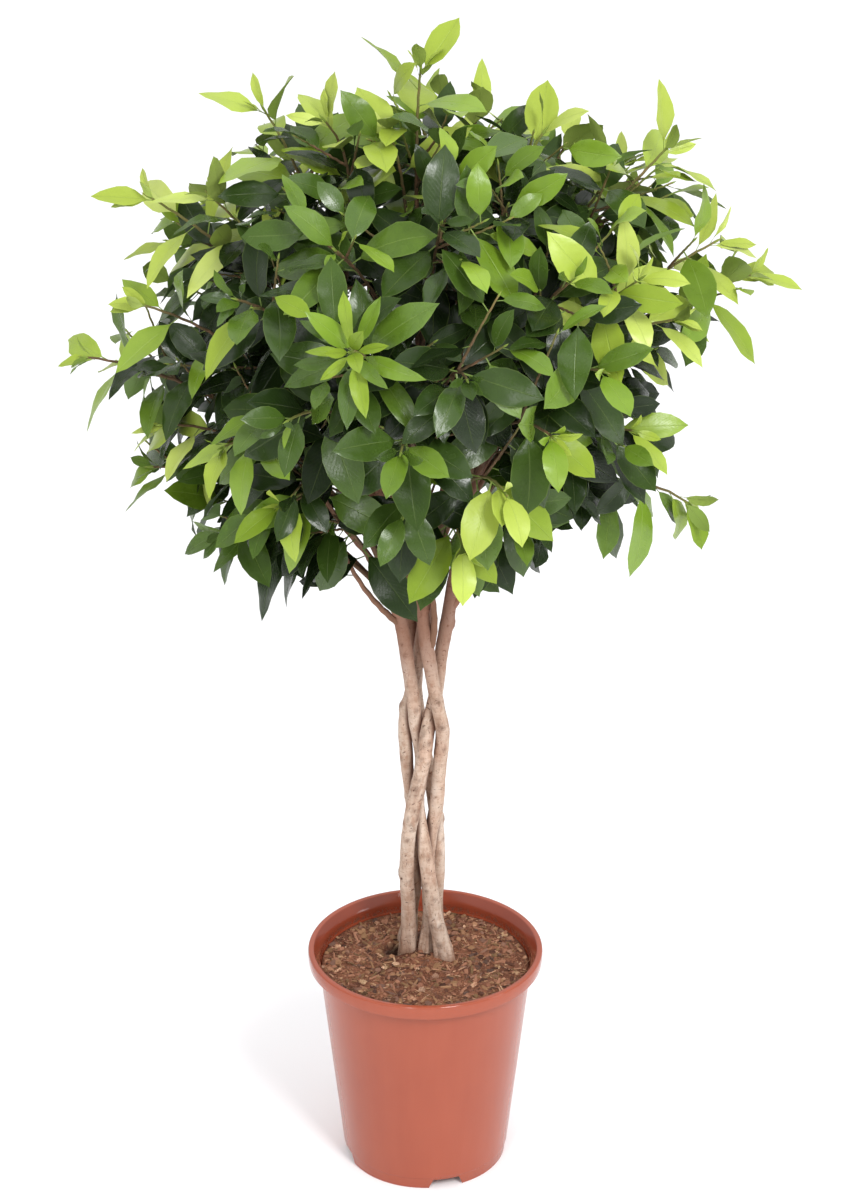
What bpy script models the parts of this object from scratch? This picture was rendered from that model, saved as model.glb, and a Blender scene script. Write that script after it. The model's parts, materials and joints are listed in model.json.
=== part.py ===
"""Potted braided ficus: a nursery pot, potting mix, five braided stems and the leafy sprays they carry.

Metres, +Z up. The origin is the centre of the pot's foot, on the ground, and the front faces -Y.
"""

import math
import random

import bpy
from mathutils import Matrix, Vector
from mathutils.bvhtree import BVHTree

# Pot: a thin injection-moulded nursery pot with a rolled rim, a raised floor and drainage cut-outs
POT_HEIGHT = 0.2395
POT_FOOT_RADIUS = 0.0825
POT_STEP_HEIGHT = 0.0120
POT_STEP = 0.0012
POT_NECK_RADIUS = 0.1085
POT_NECK_HEIGHT = 0.2225
POT_RIM_RADIUS = 0.120
POT_MOUTH_RADIUS = 0.1125
POT_WALL = 0.0020
POT_LIP_WIDTH = 0.0020
POT_LIP_BOTTOM = 0.2250
POT_LIP_HOLLOW = Vector((0.1150, 0.2368))
POT_FOOT_WIDTH = 0.0045
POT_FLOOR_UNDERSIDE = 0.0130
POT_FLOOR_TOP = 0.0155
POT_SIDES = 40
NOTCH_COUNT = 4
NOTCH_FIRST_DEG = -75.0
NOTCH_WIDTH = 0.038
NOTCH_TOP_WIDTH = 0.027
NOTCH_HEIGHT = 0.0105
DRAIN_RADIUS = 0.006
DRAIN_RING_RADIUS = 0.048

# Potting mix: heaped a little round the stems
SOIL_EDGE_HEIGHT = 0.2190
SOIL_HEAP = 0.0034
SOIL_LUMP = 0.0012
SOIL_SIDES = 28
SOIL_RING_SHARES = (0.70, 0.36)

# Clearance that neighbouring solids keep
GAP = 0.0003

# Braided stems: centre lines by hand, (height, x, y), and where each leans in the crown
STEM_SIDES = 7
STEM_BOTTOM = 0.150
STEM_COLLAR = 0.229
STEM_STEP = 0.0223
STEM_CROWN_STEP = 0.066
STEM_TOP = 0.960
STEM_FOOT_RADIUS = 0.0092
STEM_FORK_HEIGHT = 0.63
STEM_FORK_RADIUS = 0.0066
STEM_TOP_RADIUS = 0.0026
STEM_FLARE_HEIGHT = 0.060
STEM_ROOM = 1.055
BRAID_SWEEPS = 240
BRAID_LAST_SWEEPS = 80
BRAID_PULL = 0.05
BRAID_EASE = 0.03
STEMS = {
    "stem_1": {
        "radius": 0.0076,
        "line": [(0.220, -0.0175, 0.0230), (0.248, -0.0169, 0.0185), (0.270, -0.0168, 0.0145),
                 (0.293, -0.0174, 0.0100), (0.316, -0.0188, 0.0050), (0.338, -0.0188, 0.0010),
                 (0.361, -0.0172, -0.0030), (0.382, -0.0145, -0.0060), (0.402, -0.0126, -0.0060),
                 (0.422, -0.0097, -0.0060), (0.442, -0.0042, -0.0060), (0.467, -0.0005, -0.0055),
                 (0.483, 0.0003, -0.0040), (0.500, 0.0041, -0.0015), (0.517, 0.0099, 0.0035),
                 (0.535, 0.0119, 0.0075), (0.554, 0.0138, 0.0100), (0.574, 0.0163, 0.0110),
                 (0.594, 0.0202, 0.0100), (0.615, 0.0225, 0.0080), (0.636, 0.0240, 0.0070),
                 (0.800, 0.0520, -0.0100), (0.960, 0.0850, -0.0220)],
    },
    "stem_2": {
        "radius": 0.0076,
        "line": [(0.230, 0.0189, 0.0065), (0.256, 0.0119, 0.0050), (0.278, 0.0090, 0.0020),
                 (0.299, 0.0065, 0.0000), (0.320, 0.0033, -0.0020), (0.340, 0.0015, -0.0020),
                 (0.358, -0.0021, 0.0010), (0.375, -0.0055, 0.0065), (0.394, -0.0090, 0.0088),
                 (0.414, -0.0085, 0.0090), (0.434, -0.0040, 0.0090), (0.459, -0.0015, 0.0100),
                 (0.476, -0.0060, 0.0090), (0.497, -0.0097, 0.0035), (0.519, -0.0119, 0.0000),
                 (0.540, -0.0143, -0.0020), (0.561, -0.0168, -0.0030), (0.580, -0.0195, -0.0030),
                 (0.600, -0.0229, -0.0030), (0.620, -0.0244, -0.0030), (0.640, -0.0268, -0.0030),
                 (0.800, -0.0520, -0.0180), (0.960, -0.0800, -0.0300)],
    },
    "stem_3": {
        "radius": 0.0073,
        "line": [(0.224, 0.0015, 0.0160), (0.247, 0.0046, 0.0195), (0.269, 0.0056, 0.0175),
                 (0.290, 0.0041, 0.0160), (0.311, 0.0020, 0.0140), (0.331, 0.0010, 0.0135),
                 (0.350, 0.0020, 0.0155), (0.369, 0.0056, 0.0170), (0.393, 0.0106, 0.0105),
                 (0.416, 0.0125, 0.0060), (0.436, 0.0135, 0.0050), (0.463, 0.0148, 0.0025),
                 (0.483, 0.0149, -0.0040), (0.505, 0.0143, -0.0115), (0.525, 0.0106, -0.0115),
                 (0.544, 0.0081, -0.0090), (0.563, 0.0044, -0.0070), (0.581, 0.0007, -0.0050),
                 (0.601, -0.0015, -0.0045), (0.622, -0.0026, -0.0060), (0.642, -0.0031, -0.0070),
                 (0.800, -0.0040, -0.0480), (0.960, -0.0060, -0.0820)],
    },
    "stem_4": {
        "radius": 0.0067,
        "line": [(0.212, 0.0165, 0.0360), (0.238, 0.0123, 0.0350), (0.259, 0.0103, 0.0340),
                 (0.280, 0.0113, 0.0320), (0.301, 0.0128, 0.0305), (0.322, 0.0129, 0.0295),
                 (0.342, 0.0132, 0.0295), (0.362, 0.0122, 0.0305), (0.384, 0.0101, 0.0265),
                 (0.406, 0.0076, 0.0230), (0.426, 0.0050, 0.0245), (0.450, -0.0009, 0.0265),
                 (0.467, -0.0015, 0.0270), (0.485, -0.0055, 0.0270), (0.504, -0.0092, 0.0290),
                 (0.525, -0.0109, 0.0285), (0.544, -0.0086, 0.0300), (0.565, -0.0099, 0.0285),
                 (0.586, -0.0133, 0.0275), (0.606, -0.0153, 0.0270), (0.626, -0.0172, 0.0275),
                 (0.800, -0.0400, 0.0460), (0.960, -0.0560, 0.0700)],
    },
    "stem_5": {
        "radius": 0.0067,
        "line": [(0.208, -0.0160, 0.0435), (0.237, -0.0165, 0.0375), (0.260, -0.0147, 0.0330),
                 (0.282, -0.0119, 0.0290), (0.305, -0.0102, 0.0250), (0.326, -0.0109, 0.0225),
                 (0.348, -0.0122, 0.0200), (0.368, -0.0131, 0.0195), (0.386, -0.0131, 0.0235),
                 (0.406, -0.0136, 0.0235), (0.429, -0.0180, 0.0185), (0.457, -0.0195, 0.0135),
                 (0.474, -0.0191, 0.0140), (0.492, -0.0194, 0.0125), (0.512, -0.0154, 0.0135),
                 (0.532, -0.0129, 0.0135), (0.551, -0.0089, 0.0150), (0.571, -0.0049, 0.0160),
                 (0.590, -0.0025, 0.0185), (0.608, -0.0005, 0.0225), (0.627, 0.0020, 0.0255),
                 (0.800, 0.0300, 0.0500), (0.960, 0.0440, 0.0760)],
    },
}

# Limbs and twigs
LIMB_RADIUS = 0.0036
LIMB_STEM_SHARE = 0.8
TWIG_RADIUS = 0.0021
TWIG_TIP_RADIUS = 0.0013
BUD_LENGTH = 0.011
LIMB_SIDES = 3
TWIG_SIDES = 3
TWIG_LENGTH = 0.130
TWIG_STEPS = 2
LIMB_STEPS = 3
LIMB_LOWEST_START = 0.618
LIMB_HIGHEST_START = 0.93
BRANCH_TRIES = 40
BRANCH_ROOM = 0.0014

# Sprays seen from the front: twig tip (x, y, z), leaves, age of its leaves (0 old and dark to 1 young and bright)
# and how far it hangs (-1 lifts, 1 droops)
FRONT_SPRAYS = {
    "top_centre": (-0.003, 0.000, 1.184, 9, 0.8, -1.0),
    "top_left": (-0.157, 0.005, 1.142, 8, 0.8, -0.9),
    "top_left_inner": (-0.092, -0.020, 1.127, 7, 0.5, -0.8),
    "top_near_centre": (-0.040, -0.050, 1.140, 8, 0.8, -0.8),
    "top_behind_centre": (0.052, 0.050, 1.114, 7, 0.4, -0.8),
    "top_right_inner": (0.108, -0.020, 1.116, 8, 0.9, -0.9),
    "top_right_back": (0.180, 0.055, 1.058, 7, 0.7, -0.8),
    "top_right": (0.233, 0.000, 1.106, 8, 0.8, -0.8),
    "shoulder_left": (-0.208, -0.010, 1.060, 8, 0.7, -0.7),
    "upper_left": (-0.256, 0.010, 1.042, 7, 0.8, -0.4),
    "side_left": (-0.262, -0.030, 0.950, 7, 0.5, -0.1),
    "far_left": (-0.320, 0.000, 0.886, 8, 0.2, 0.1),
    "low_side_left": (-0.246, -0.050, 0.838, 7, 0.3, 0.2),
    "low_left": (-0.262, 0.020, 0.764, 7, 0.1, 0.3),
    "bottom_left": (-0.196, -0.035, 0.718, 7, 0.1, 0.7),
    "shoulder_right": (0.268, -0.010, 1.005, 8, 0.8, -0.4),
    "far_right": (0.306, 0.010, 0.966, 8, 0.5, -0.2),
    "side_right": (0.228, -0.085, 0.958, 8, 0.7, -0.1),
    "right_front_top": (0.192, -0.150, 1.022, 8, 0.9, -0.6),
    "right_inner_top": (0.130, -0.175, 1.030, 7, 0.5, -0.6),
    "side_right_low": (0.190, -0.125, 0.864, 8, 0.4, 0.2),
    "right_low_middle": (0.184, 0.000, 0.832, 7, 0.2, 0.4),
    "right_bottom": (0.248, -0.065, 0.764, 9, 0.6, 1.0),
    "front_right_high": (0.158, -0.205, 0.955, 8, 0.5, 0.1),
    "front_right": (0.112, -0.235, 0.905, 7, 0.3, 0.3),
    "front_right_low": (0.072, -0.225, 0.845, 8, 0.9, 0.4),
    "bottom_right": (0.084, -0.135, 0.780, 7, 0.0, 0.7),
    "front_bottom": (0.034, -0.175, 0.768, 7, 0.9, 0.9),
    "front_low": (-0.020, -0.200, 0.812, 7, 0.3, 0.6),
    "front_middle": (0.036, -0.265, 0.972, 8, 0.4, 0.1),
    "front_rosette": (-0.066, -0.265, 0.998, 11, 0.95, -0.2),
    "front_centre_low": (-0.022, -0.258, 0.900, 8, 0.8, 0.3),
    "front_left_middle": (-0.122, -0.228, 0.918, 8, 0.8, 0.2),
    "front_left": (-0.182, -0.180, 0.872, 7, 0.6, 0.3),
    "front_left_low": (-0.135, -0.165, 0.806, 7, 0.7, 0.5),
    "front_left_bottom": (-0.100, -0.120, 0.766, 7, 0.1, 0.7),
    "front_left_top": (-0.168, -0.170, 1.010, 8, 0.4, -0.3),
    "front_top_left": (-0.085, -0.185, 1.066, 8, 0.5, -0.4),
    "front_top_centre": (0.014, -0.178, 1.086, 8, 0.5, -0.5),
    "front_top_right": (0.088, -0.125, 1.078, 7, 0.5, -0.5),
}

# Sprays of the back half, in rings: height, reach from the axis, how many, and how far they hang
BACK_RINGS = ((0.765, 0.215, 3, 0.6), (0.865, 0.275, 3, 0.2), (0.965, 0.275, 3, 0.0), (1.058, 0.185, 3, -0.6))
BACK_ARC_DEG = (18.0, 162.0)
BACK_LEAVES = 7
DRAW_SEED = 10

# Leaves
GOLDEN_ANGLE = math.radians(137.5)
INTERNODE = 0.0145
LEAF_THICKNESS = 0.0008
LEAF_LENGTH = 0.073
LEAF_YOUNG_SHARE = (0.66, 0.80, 0.92)
LEAF_WIDTH_SHARE = 0.46
LEAF_SPREAD_DEG = (22.0, 38.0, 50.0, 60.0, 66.0)
LEAF_ARCH_DEG = 26.0
LEAF_SECTIONS = ((0.33, 1.00), (0.70, 0.86))
LEAF_ROLL = 0.30
LEAF_FACING = 0.42
PETIOLE_LENGTH = 0.012
PETIOLE_RADIUS = 0.0009
PETIOLE_ROOT_RADIUS = 0.0005
LEAF_TRIES = 30
LEAF_ROOM = 0.0012
CROWN_LIMIT = Vector((0.366, 0.330, 1.230))
CROWN_LOWEST_LEAF = 0.612
CROWN_CENTRE = Vector((0.0, 0.0, 0.86))

COLOURS = {
    "pot_plastic": ((0.62, 0.20, 0.11), 0.38),
    "potting_mix": ((0.19, 0.095, 0.055), 0.95),
    "bark": ((0.52, 0.38, 0.28), 0.80),
    "leaf_old": ((0.035, 0.115, 0.035), 0.32),
    "leaf_young": ((0.22, 0.42, 0.04), 0.34),
}


def clear_scene():
    for old in list(bpy.data.objects):
        bpy.data.objects.remove(old, do_unlink=True)


def material(slot):
    found = bpy.data.materials.get(slot)
    if found:
        return found
    colour, roughness = COLOURS[slot]
    made = bpy.data.materials.new(slot)
    made.use_nodes = True
    shader = made.node_tree.nodes["Principled BSDF"]
    shader.inputs["Base Color"].default_value = (*colour, 1.0)
    shader.inputs["Roughness"].default_value = roughness
    shader.inputs["Metallic"].default_value = 0.0
    return made


def mesh_object(name, points, faces, slot=None, collection=None):
    mesh = bpy.data.meshes.new(name)
    mesh.from_pydata([tuple(p) for p in points], [], faces)
    mesh.update()
    made = bpy.data.objects.new(name, mesh)
    if slot:
        mesh.materials.append(material(slot))
    (collection or bpy.context.scene.collection).objects.link(made)
    return made


def hide_helper(helper):
    helper.hide_render = True
    helper.display_type = "WIRE"


def apply_boolean(target, operation, helper=None, collection=None):
    """One Boolean on target, applied, with its helpers removed."""
    cut = target.modifiers.new(operation.lower(), "BOOLEAN")
    cut.operation = operation
    cut.solver = "EXACT"
    if collection:
        cut.operand_type = "COLLECTION"
        cut.collection = collection
    else:
        cut.object = helper
    graph = bpy.context.evaluated_depsgraph_get()
    result = bpy.data.meshes.new_from_object(target.evaluated_get(graph))
    target.modifiers.clear()
    target.data = result
    helpers = list(collection.objects) if collection else [helper]
    for used in helpers:
        bpy.data.objects.remove(used, do_unlink=True)
    if collection:
        bpy.data.collections.remove(collection)


# Curves and tubes


def between(stations, height):
    """A smooth centre line through hand-set stations (height, x, y), read at one height."""
    last = len(stations) - 1
    i = 0
    while i < last - 1 and stations[i + 1][0] < height:
        i += 1
    before, low = stations[max(i - 1, 0)], stations[i]
    high, after = stations[i + 1], stations[min(i + 2, last)]
    span = high[0] - low[0]
    t = min(max((height - low[0]) / span, 0.0), 1.0)
    found = []
    for axis in (1, 2):
        slope_low = (high[axis] - before[axis]) / (high[0] - before[0]) * span
        slope_high = (after[axis] - low[axis]) / (after[0] - low[0]) * span
        found.append(
            (2 * t**3 - 3 * t**2 + 1) * low[axis]
            + (t**3 - 2 * t**2 + t) * slope_low
            + (3 * t**2 - 2 * t**3) * high[axis]
            + (t**3 - t**2) * slope_high
        )
    return Vector((found[0], found[1], height))


def bezier(controls, t):
    a, b, c, d = controls
    s = 1 - t
    return a * s**3 + b * (3 * s * s * t) + c * (3 * s * t * t) + d * t**3


def bezier_heading(controls, t):
    a, b, c, d = controls
    s = 1 - t
    return ((b - a) * s * s + (c - b) * (2 * s * t) + (d - c) * t * t).normalized()


def even_parameters(first, last, steps):
    return [first + (last - first) * i / steps for i in range(steps + 1)]


def arc_parameters(controls, fine=60):
    """Running length of a Bezier at even parameters."""
    lengths, before = [0.0], controls[0]
    for i in range(1, fine + 1):
        point = bezier(controls, i / fine)
        lengths.append(lengths[-1] + (point - before).length)
        before = point
    return lengths


def parameter_at(lengths, wanted):
    for i in range(1, len(lengths)):
        if lengths[i] >= wanted:
            share = (wanted - lengths[i - 1]) / max(lengths[i] - lengths[i - 1], 1e-9)
            return (i - 1 + share) / (len(lengths) - 1)
    return 1.0


def headings_of(points):
    last = len(points) - 1
    return [(points[min(i + 1, last)] - points[max(i - 1, 0)]).normalized() for i in range(last + 1)]


def tube(points, radii, sides, headings=None, pointed=False):
    """Points and faces of a closed tapered tube along points; pointed ends it in one vertex."""
    made, faces = [], []
    headings = headings or headings_of(points)
    side = headings[0].orthogonal().normalized()
    rings = len(points) - 1 if pointed else len(points)
    for i in range(rings):
        ahead = headings[i]
        side = (side - ahead * side.dot(ahead)).normalized()
        across = ahead.cross(side)
        for k in range(sides):
            turn = 2 * math.pi * k / sides
            made.append(points[i] + (side * math.cos(turn) + across * math.sin(turn)) * radii[i])
    for i in range(rings - 1):
        for k in range(sides):
            a, b = i * sides + k, i * sides + (k + 1) % sides
            faces.append((a, b, b + sides, a + sides))
    faces.append(tuple(reversed(range(sides))))
    top = (rings - 1) * sides
    if pointed:
        made.append(points[-1])
        faces += [(top + k, top + (k + 1) % sides, len(made) - 1) for k in range(sides)]
    else:
        faces.append(tuple(range(top, top + sides)))
    return made, faces


# Pot and soil


def inner_wall_radius(height):
    share = (height - POT_FLOOR_TOP) / (POT_NECK_HEIGHT - POT_FLOOR_TOP)
    low = POT_FOOT_RADIUS + (POT_NECK_RADIUS - POT_FOOT_RADIUS) * POT_FLOOR_TOP / POT_NECK_HEIGHT - POT_WALL
    return low + (POT_NECK_RADIUS - POT_WALL - low) * share


def turned(profile, sides):
    """Points and faces of a profile of (radius, height) turned round Z. A zero radius is a pole."""
    made, faces, rings = [], [], []
    for radius, height in profile:
        if radius == 0:
            rings.append([len(made)])
            made.append(Vector((0, 0, height)))
            continue
        rings.append(list(range(len(made), len(made) + sides)))
        for k in range(sides):
            turn = 2 * math.pi * k / sides
            made.append(Vector((radius * math.cos(turn), radius * math.sin(turn), height)))
    for low, high in zip(rings, rings[1:] + rings[:1]):
        if len(low) == 1 and len(high) == 1:
            continue
        for k in range(sides):
            n = (k + 1) % sides
            if len(low) == 1:
                faces.append((low[0], high[n], high[k]))
            elif len(high) == 1:
                faces.append((low[k], low[n], high[0]))
            else:
                faces.append((low[k], low[n], high[n], high[k]))
    return made, faces


def pot_profile():
    """From the foot's outer edge up the wall, over the rolled rim, down inside and out under the raised floor."""
    foot_inside = POT_FOOT_RADIUS - POT_FOOT_WIDTH
    return [
        (POT_FOOT_RADIUS, 0.0),
        (POT_FOOT_RADIUS + POT_STEP, POT_STEP_HEIGHT),
        (POT_FOOT_RADIUS + 2 * POT_STEP, POT_STEP_HEIGHT + POT_STEP),
        (POT_NECK_RADIUS, POT_NECK_HEIGHT),
        tuple(POT_LIP_HOLLOW),
        (POT_RIM_RADIUS - POT_LIP_WIDTH, POT_LIP_BOTTOM),
        (POT_RIM_RADIUS, POT_LIP_BOTTOM),
        (POT_RIM_RADIUS, POT_HEIGHT - 0.0035),
        (POT_RIM_RADIUS - 0.0030, POT_HEIGHT),
        (POT_MOUTH_RADIUS + 0.0005, POT_HEIGHT - 0.0008),
        (inner_wall_radius(POT_NECK_HEIGHT) + 0.0014, POT_HEIGHT - 0.0100),
        (inner_wall_radius(POT_FLOOR_TOP), POT_FLOOR_TOP),
        (0.0, POT_FLOOR_TOP),
        (0.0, POT_FLOOR_UNDERSIDE),
        (foot_inside, POT_FLOOR_UNDERSIDE),
        (foot_inside, 0.0),
    ]


def notch_cutter(turn):
    """A wedge with slanting sides that opens the foot ring for drainage."""
    near, far = POT_FOOT_RADIUS - 0.018, POT_FOOT_RADIUS + 0.012
    corners = []
    for radius in (near, far):
        for half, height in (
            (-NOTCH_WIDTH / 2, -0.002),
            (NOTCH_WIDTH / 2, -0.002),
            (NOTCH_TOP_WIDTH / 2, NOTCH_HEIGHT),
            (-NOTCH_TOP_WIDTH / 2, NOTCH_HEIGHT),
        ):
            corners.append(Matrix.Rotation(turn, 3, "Z") @ Vector((radius, half, height)))
    faces = [(3, 2, 1, 0), (4, 5, 6, 7), (0, 1, 5, 4), (1, 2, 6, 5), (2, 3, 7, 6), (3, 0, 4, 7)]
    return corners, faces


def drain_cutter(x, y):
    low, high = Vector((x, y, POT_FLOOR_UNDERSIDE - 0.003)), Vector((x, y, POT_FLOOR_TOP + 0.003))
    return tube([low, high], [DRAIN_RADIUS] * 2, 8)


def joined(shapes):
    points, faces = [], []
    for more_points, more_faces in shapes:
        start = len(points)
        points += more_points
        faces += [tuple(start + i for i in face) for face in more_faces]
    return points, faces


def make_pot():
    pot = mesh_object("pot", *turned(pot_profile(), POT_SIDES), "pot_plastic")
    turns = [math.radians(NOTCH_FIRST_DEG + 360 * k / NOTCH_COUNT) for k in range(NOTCH_COUNT)]
    drains = [drain_cutter(0, 0)]
    for turn in turns:
        away = turn + math.pi / NOTCH_COUNT
        drains.append(drain_cutter(DRAIN_RING_RADIUS * math.cos(away), DRAIN_RING_RADIUS * math.sin(away)))
    cutter = mesh_object("drainage_cutter", *joined([notch_cutter(turn) for turn in turns] + drains))
    hide_helper(cutter)
    apply_boolean(pot, "DIFFERENCE", helper=cutter)
    pot.data.shade_smooth()
    pot.data.set_sharp_from_angle(angle=math.radians(35))


def soil_relief(x, y):
    """Height of the mix over its edge: a low heap with lumps."""
    away = math.hypot(x, y) / inner_wall_radius(SOIL_EDGE_HEIGHT)
    lumps = math.sin(71 * x + 2.1) * math.sin(83 * y + 0.4) + 0.6 * math.sin(163 * x - 97 * y)
    return SOIL_HEAP * (1 - away**2) + SOIL_LUMP * lumps * (1 - away**6)


def make_soil(stem_lines):
    inside = math.cos(math.pi / POT_SIDES)
    floor_height = POT_FLOOR_TOP + GAP
    profile = [(0.0, floor_height)]
    for height in (floor_height, SOIL_EDGE_HEIGHT):
        profile.append((inner_wall_radius(height) * inside - GAP, height))
    edge = profile[-1][0]
    profile += [(edge * share, SOIL_EDGE_HEIGHT) for share in SOIL_RING_SHARES]
    profile.append((0.0, SOIL_EDGE_HEIGHT))
    points, faces = turned(profile, SOIL_SIDES)
    for point in points:
        if point.z > SOIL_EDGE_HEIGHT - GAP:
            point.z += soil_relief(point.x, point.y)
    soil = mesh_object("soil", points, faces, "potting_mix")
    for stem, line in stem_lines.items():
        ends = [line[0] - Vector((0, 0, GAP)), line[1] + Vector((0, 0, STEM_STEP))]
        radii = [STEM_FOOT_RADIUS + 1.3 * GAP] * 2
        hole = mesh_object(stem + "_hole", *tube(ends, radii, STEM_SIDES))
        apply_boolean(soil, "DIFFERENCE", helper=hole)


# Stems


def stem_radius(stem, height):
    body = STEMS[stem]["radius"]
    foot = (height - SOIL_EDGE_HEIGHT) / STEM_FLARE_HEIGHT
    if foot < 1:
        return body + (STEM_FOOT_RADIUS - body) * (1 - max(foot, 0.0)) ** 2
    if height <= STEM_FORK_HEIGHT:
        share = (height - SOIL_EDGE_HEIGHT) / (STEM_FORK_HEIGHT - SOIL_EDGE_HEIGHT)
        return body + (STEM_FORK_RADIUS - body) * share
    share = (height - STEM_FORK_HEIGHT) / (STEM_TOP - STEM_FORK_HEIGHT)
    return STEM_FORK_RADIUS + (STEM_TOP_RADIUS - STEM_FORK_RADIUS) * share


def push_apart(low, high, radii):
    """Eases two neighbouring levels until each pair of stems clears halfway between them."""
    names = list(low)
    for i, a in enumerate(names):
        for b in names[i + 1 :]:
            apart = (low[b] + high[b] - low[a] - high[a]) / 2
            wanted = (radii[a] + radii[b]) * STEM_ROOM
            if apart.length < wanted:
                shift = apart.normalized() * (wanted - apart.length) * 0.5
                for level in (low, high):
                    level[a] -= shift
                    level[b] += shift


def braid_heights():
    """Heights of the stems' rings: two in the soil, then even steps to the fork and longer ones above it."""
    low = round((STEM_FORK_HEIGHT - STEM_COLLAR) / STEM_STEP)
    high = round((STEM_TOP - STEM_FORK_HEIGHT) / STEM_CROWN_STEP)
    clear = [STEM_COLLAR + (STEM_FORK_HEIGHT - STEM_COLLAR) * i / low for i in range(low)]
    return clear + [STEM_FORK_HEIGHT + (STEM_TOP - STEM_FORK_HEIGHT) * i / high for i in range(high + 1)]


def braid():
    """Centre line of every stem: the hand-set lines, eased apart where they would touch."""
    heights = braid_heights()
    wanted = [{s: between(STEMS[s]["line"], z).to_2d() for s in STEMS} for z in heights]
    levels = [{s: p.copy() for s, p in level.items()} for level in wanted]
    radii = [{s: stem_radius(s, z) for s in STEMS} for z in heights]
    radii[0] = dict.fromkeys(STEMS, STEM_FOOT_RADIUS)
    for sweep in range(BRAID_SWEEPS):
        for i, level in enumerate(levels):
            if sweep < BRAID_SWEEPS - BRAID_LAST_SWEEPS:
                for s in STEMS:
                    level[s] += (wanted[i][s] - level[s]) * BRAID_PULL
                    if 0 < i < len(levels) - 1:
                        level[s] += ((levels[i - 1][s] + levels[i + 1][s]) / 2 - level[s]) * BRAID_EASE
            push_apart(level, level, radii[i])
            push_apart(level, levels[min(i + 1, len(levels) - 1)], radii[i])
    lines = {s: [Vector((*level[s], z)) for level, z in zip(levels, heights)] for s in STEMS}
    for line in lines.values():
        line.insert(0, Vector((line[0].x, line[0].y, STEM_BOTTOM)))
    return lines


def point_on(line, height):
    for low, high in zip(line, line[1:]):
        if low.z <= height <= high.z:
            return low.lerp(high, (height - low.z) / (high.z - low.z))
    return line[-1].copy()


# Branches: each runs from a stem to a spray's tip; its inner part is the limb, its outer part the leafy twig


def spray_places():
    """Every spray's tip and character, the hand-set front ones and the rings of the back half."""
    places = dict(FRONT_SPRAYS)
    first, last = BACK_ARC_DEG
    for ring, (height, reach, count, hang) in enumerate(BACK_RINGS):
        for k in range(count):
            turn = math.radians(first + (last - first) * (k + 0.5) / count)
            rise = 0.014 * math.sin(3.7 * k + ring)
            age = 0.35 + 0.3 * math.sin(2.3 * k + 1.7 * ring)
            name = f"back_{ring + 1}_{k + 1}"
            places[name] = (reach * math.cos(turn), reach * math.sin(turn), height + rise, BACK_LEAVES, age, hang)
    return places


def tip_direction(tip, hang):
    outward = Vector((tip.x, tip.y, 0))
    outward = outward.normalized() if outward.length > 0.03 else Vector((0.2, -0.2, 0))
    lift = math.radians(12 - 48 * hang)
    return (outward * math.cos(lift) + Vector((0, 0, 1)) * math.sin(lift)).normalized()


def nearest_stem(tip, lines):
    flat = Vector((tip.x, tip.y)) * 0.42
    return min(lines, key=lambda s: (lines[s][-1].to_2d() - flat).length)


def branch_controls(tip, hang, line, draw, attempt):
    """A Bezier from the stem's line to the tip, bent a little more with each attempt."""
    reach = math.hypot(tip.x, tip.y)
    wander = 0.004 + 0.0035 * attempt
    start_height = tip.z - 0.13 - 0.30 * reach + draw.uniform(-wander, wander) * 2
    start_height = min(max(start_height, LIMB_LOWEST_START), LIMB_HIGHEST_START)
    start = point_on(line, start_height)
    run = (tip - start).length
    outward = Vector((tip.x - start.x, tip.y - start.y, 0)) / run
    rise = start + (Vector((0, 0, 1)) * 0.30 + outward * 0.22) * run
    pull = tip - tip_direction(tip, hang) * 0.34 * run
    stray = Vector([draw.uniform(-wander, wander) for _ in range(3)])
    return [start, rise + stray, pull + stray * 0.6, tip]


def split_branch(controls):
    """The limb and, a small gap on, the twig of one branch, as points with their headings."""
    lengths = arc_parameters(controls)
    whole = lengths[-1]
    inner = whole - min(TWIG_LENGTH, 0.6 * whole)
    split = parameter_at(lengths, inner)
    after = parameter_at(lengths, inner + GAP)
    parts = []
    for first, last, steps in ((0.0, split, LIMB_STEPS), (after, 1.0, TWIG_STEPS)):
        found = even_parameters(first, last, steps)
        parts.append({
            "points": [bezier(controls, t) for t in found],
            "headings": [bezier_heading(controls, t) for t in found],
        })
    twig = parts[1]
    twig["bud"] = twig["points"][-1] + twig["headings"][-1] * BUD_LENGTH
    return parts


def twig_tube(twig, room=0.0):
    """The twig's tapered tube with its pointed end bud."""
    taper = [TWIG_RADIUS + (TWIG_TIP_RADIUS - TWIG_RADIUS) * i / TWIG_STEPS + room for i in range(TWIG_STEPS + 1)]
    return tube(twig["points"] + [twig["bud"]], taper, TWIG_SIDES, twig["headings"], pointed=True)


def hits(candidate, obstacles, centre, reach, skip=None):
    for other in obstacles:
        if other["owner"] == skip:
            continue
        if (other["centre"] - centre).length < other["reach"] + reach and candidate.overlap(other["tree"]):
            return True
    return False


def obstacle(points, faces, owner):
    centre = sum(points, Vector()) / len(points)
    reach = max((p - centre).length for p in points)
    return {"tree": BVHTree.FromPolygons(points, faces), "centre": centre, "reach": reach, "owner": owner}


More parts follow.
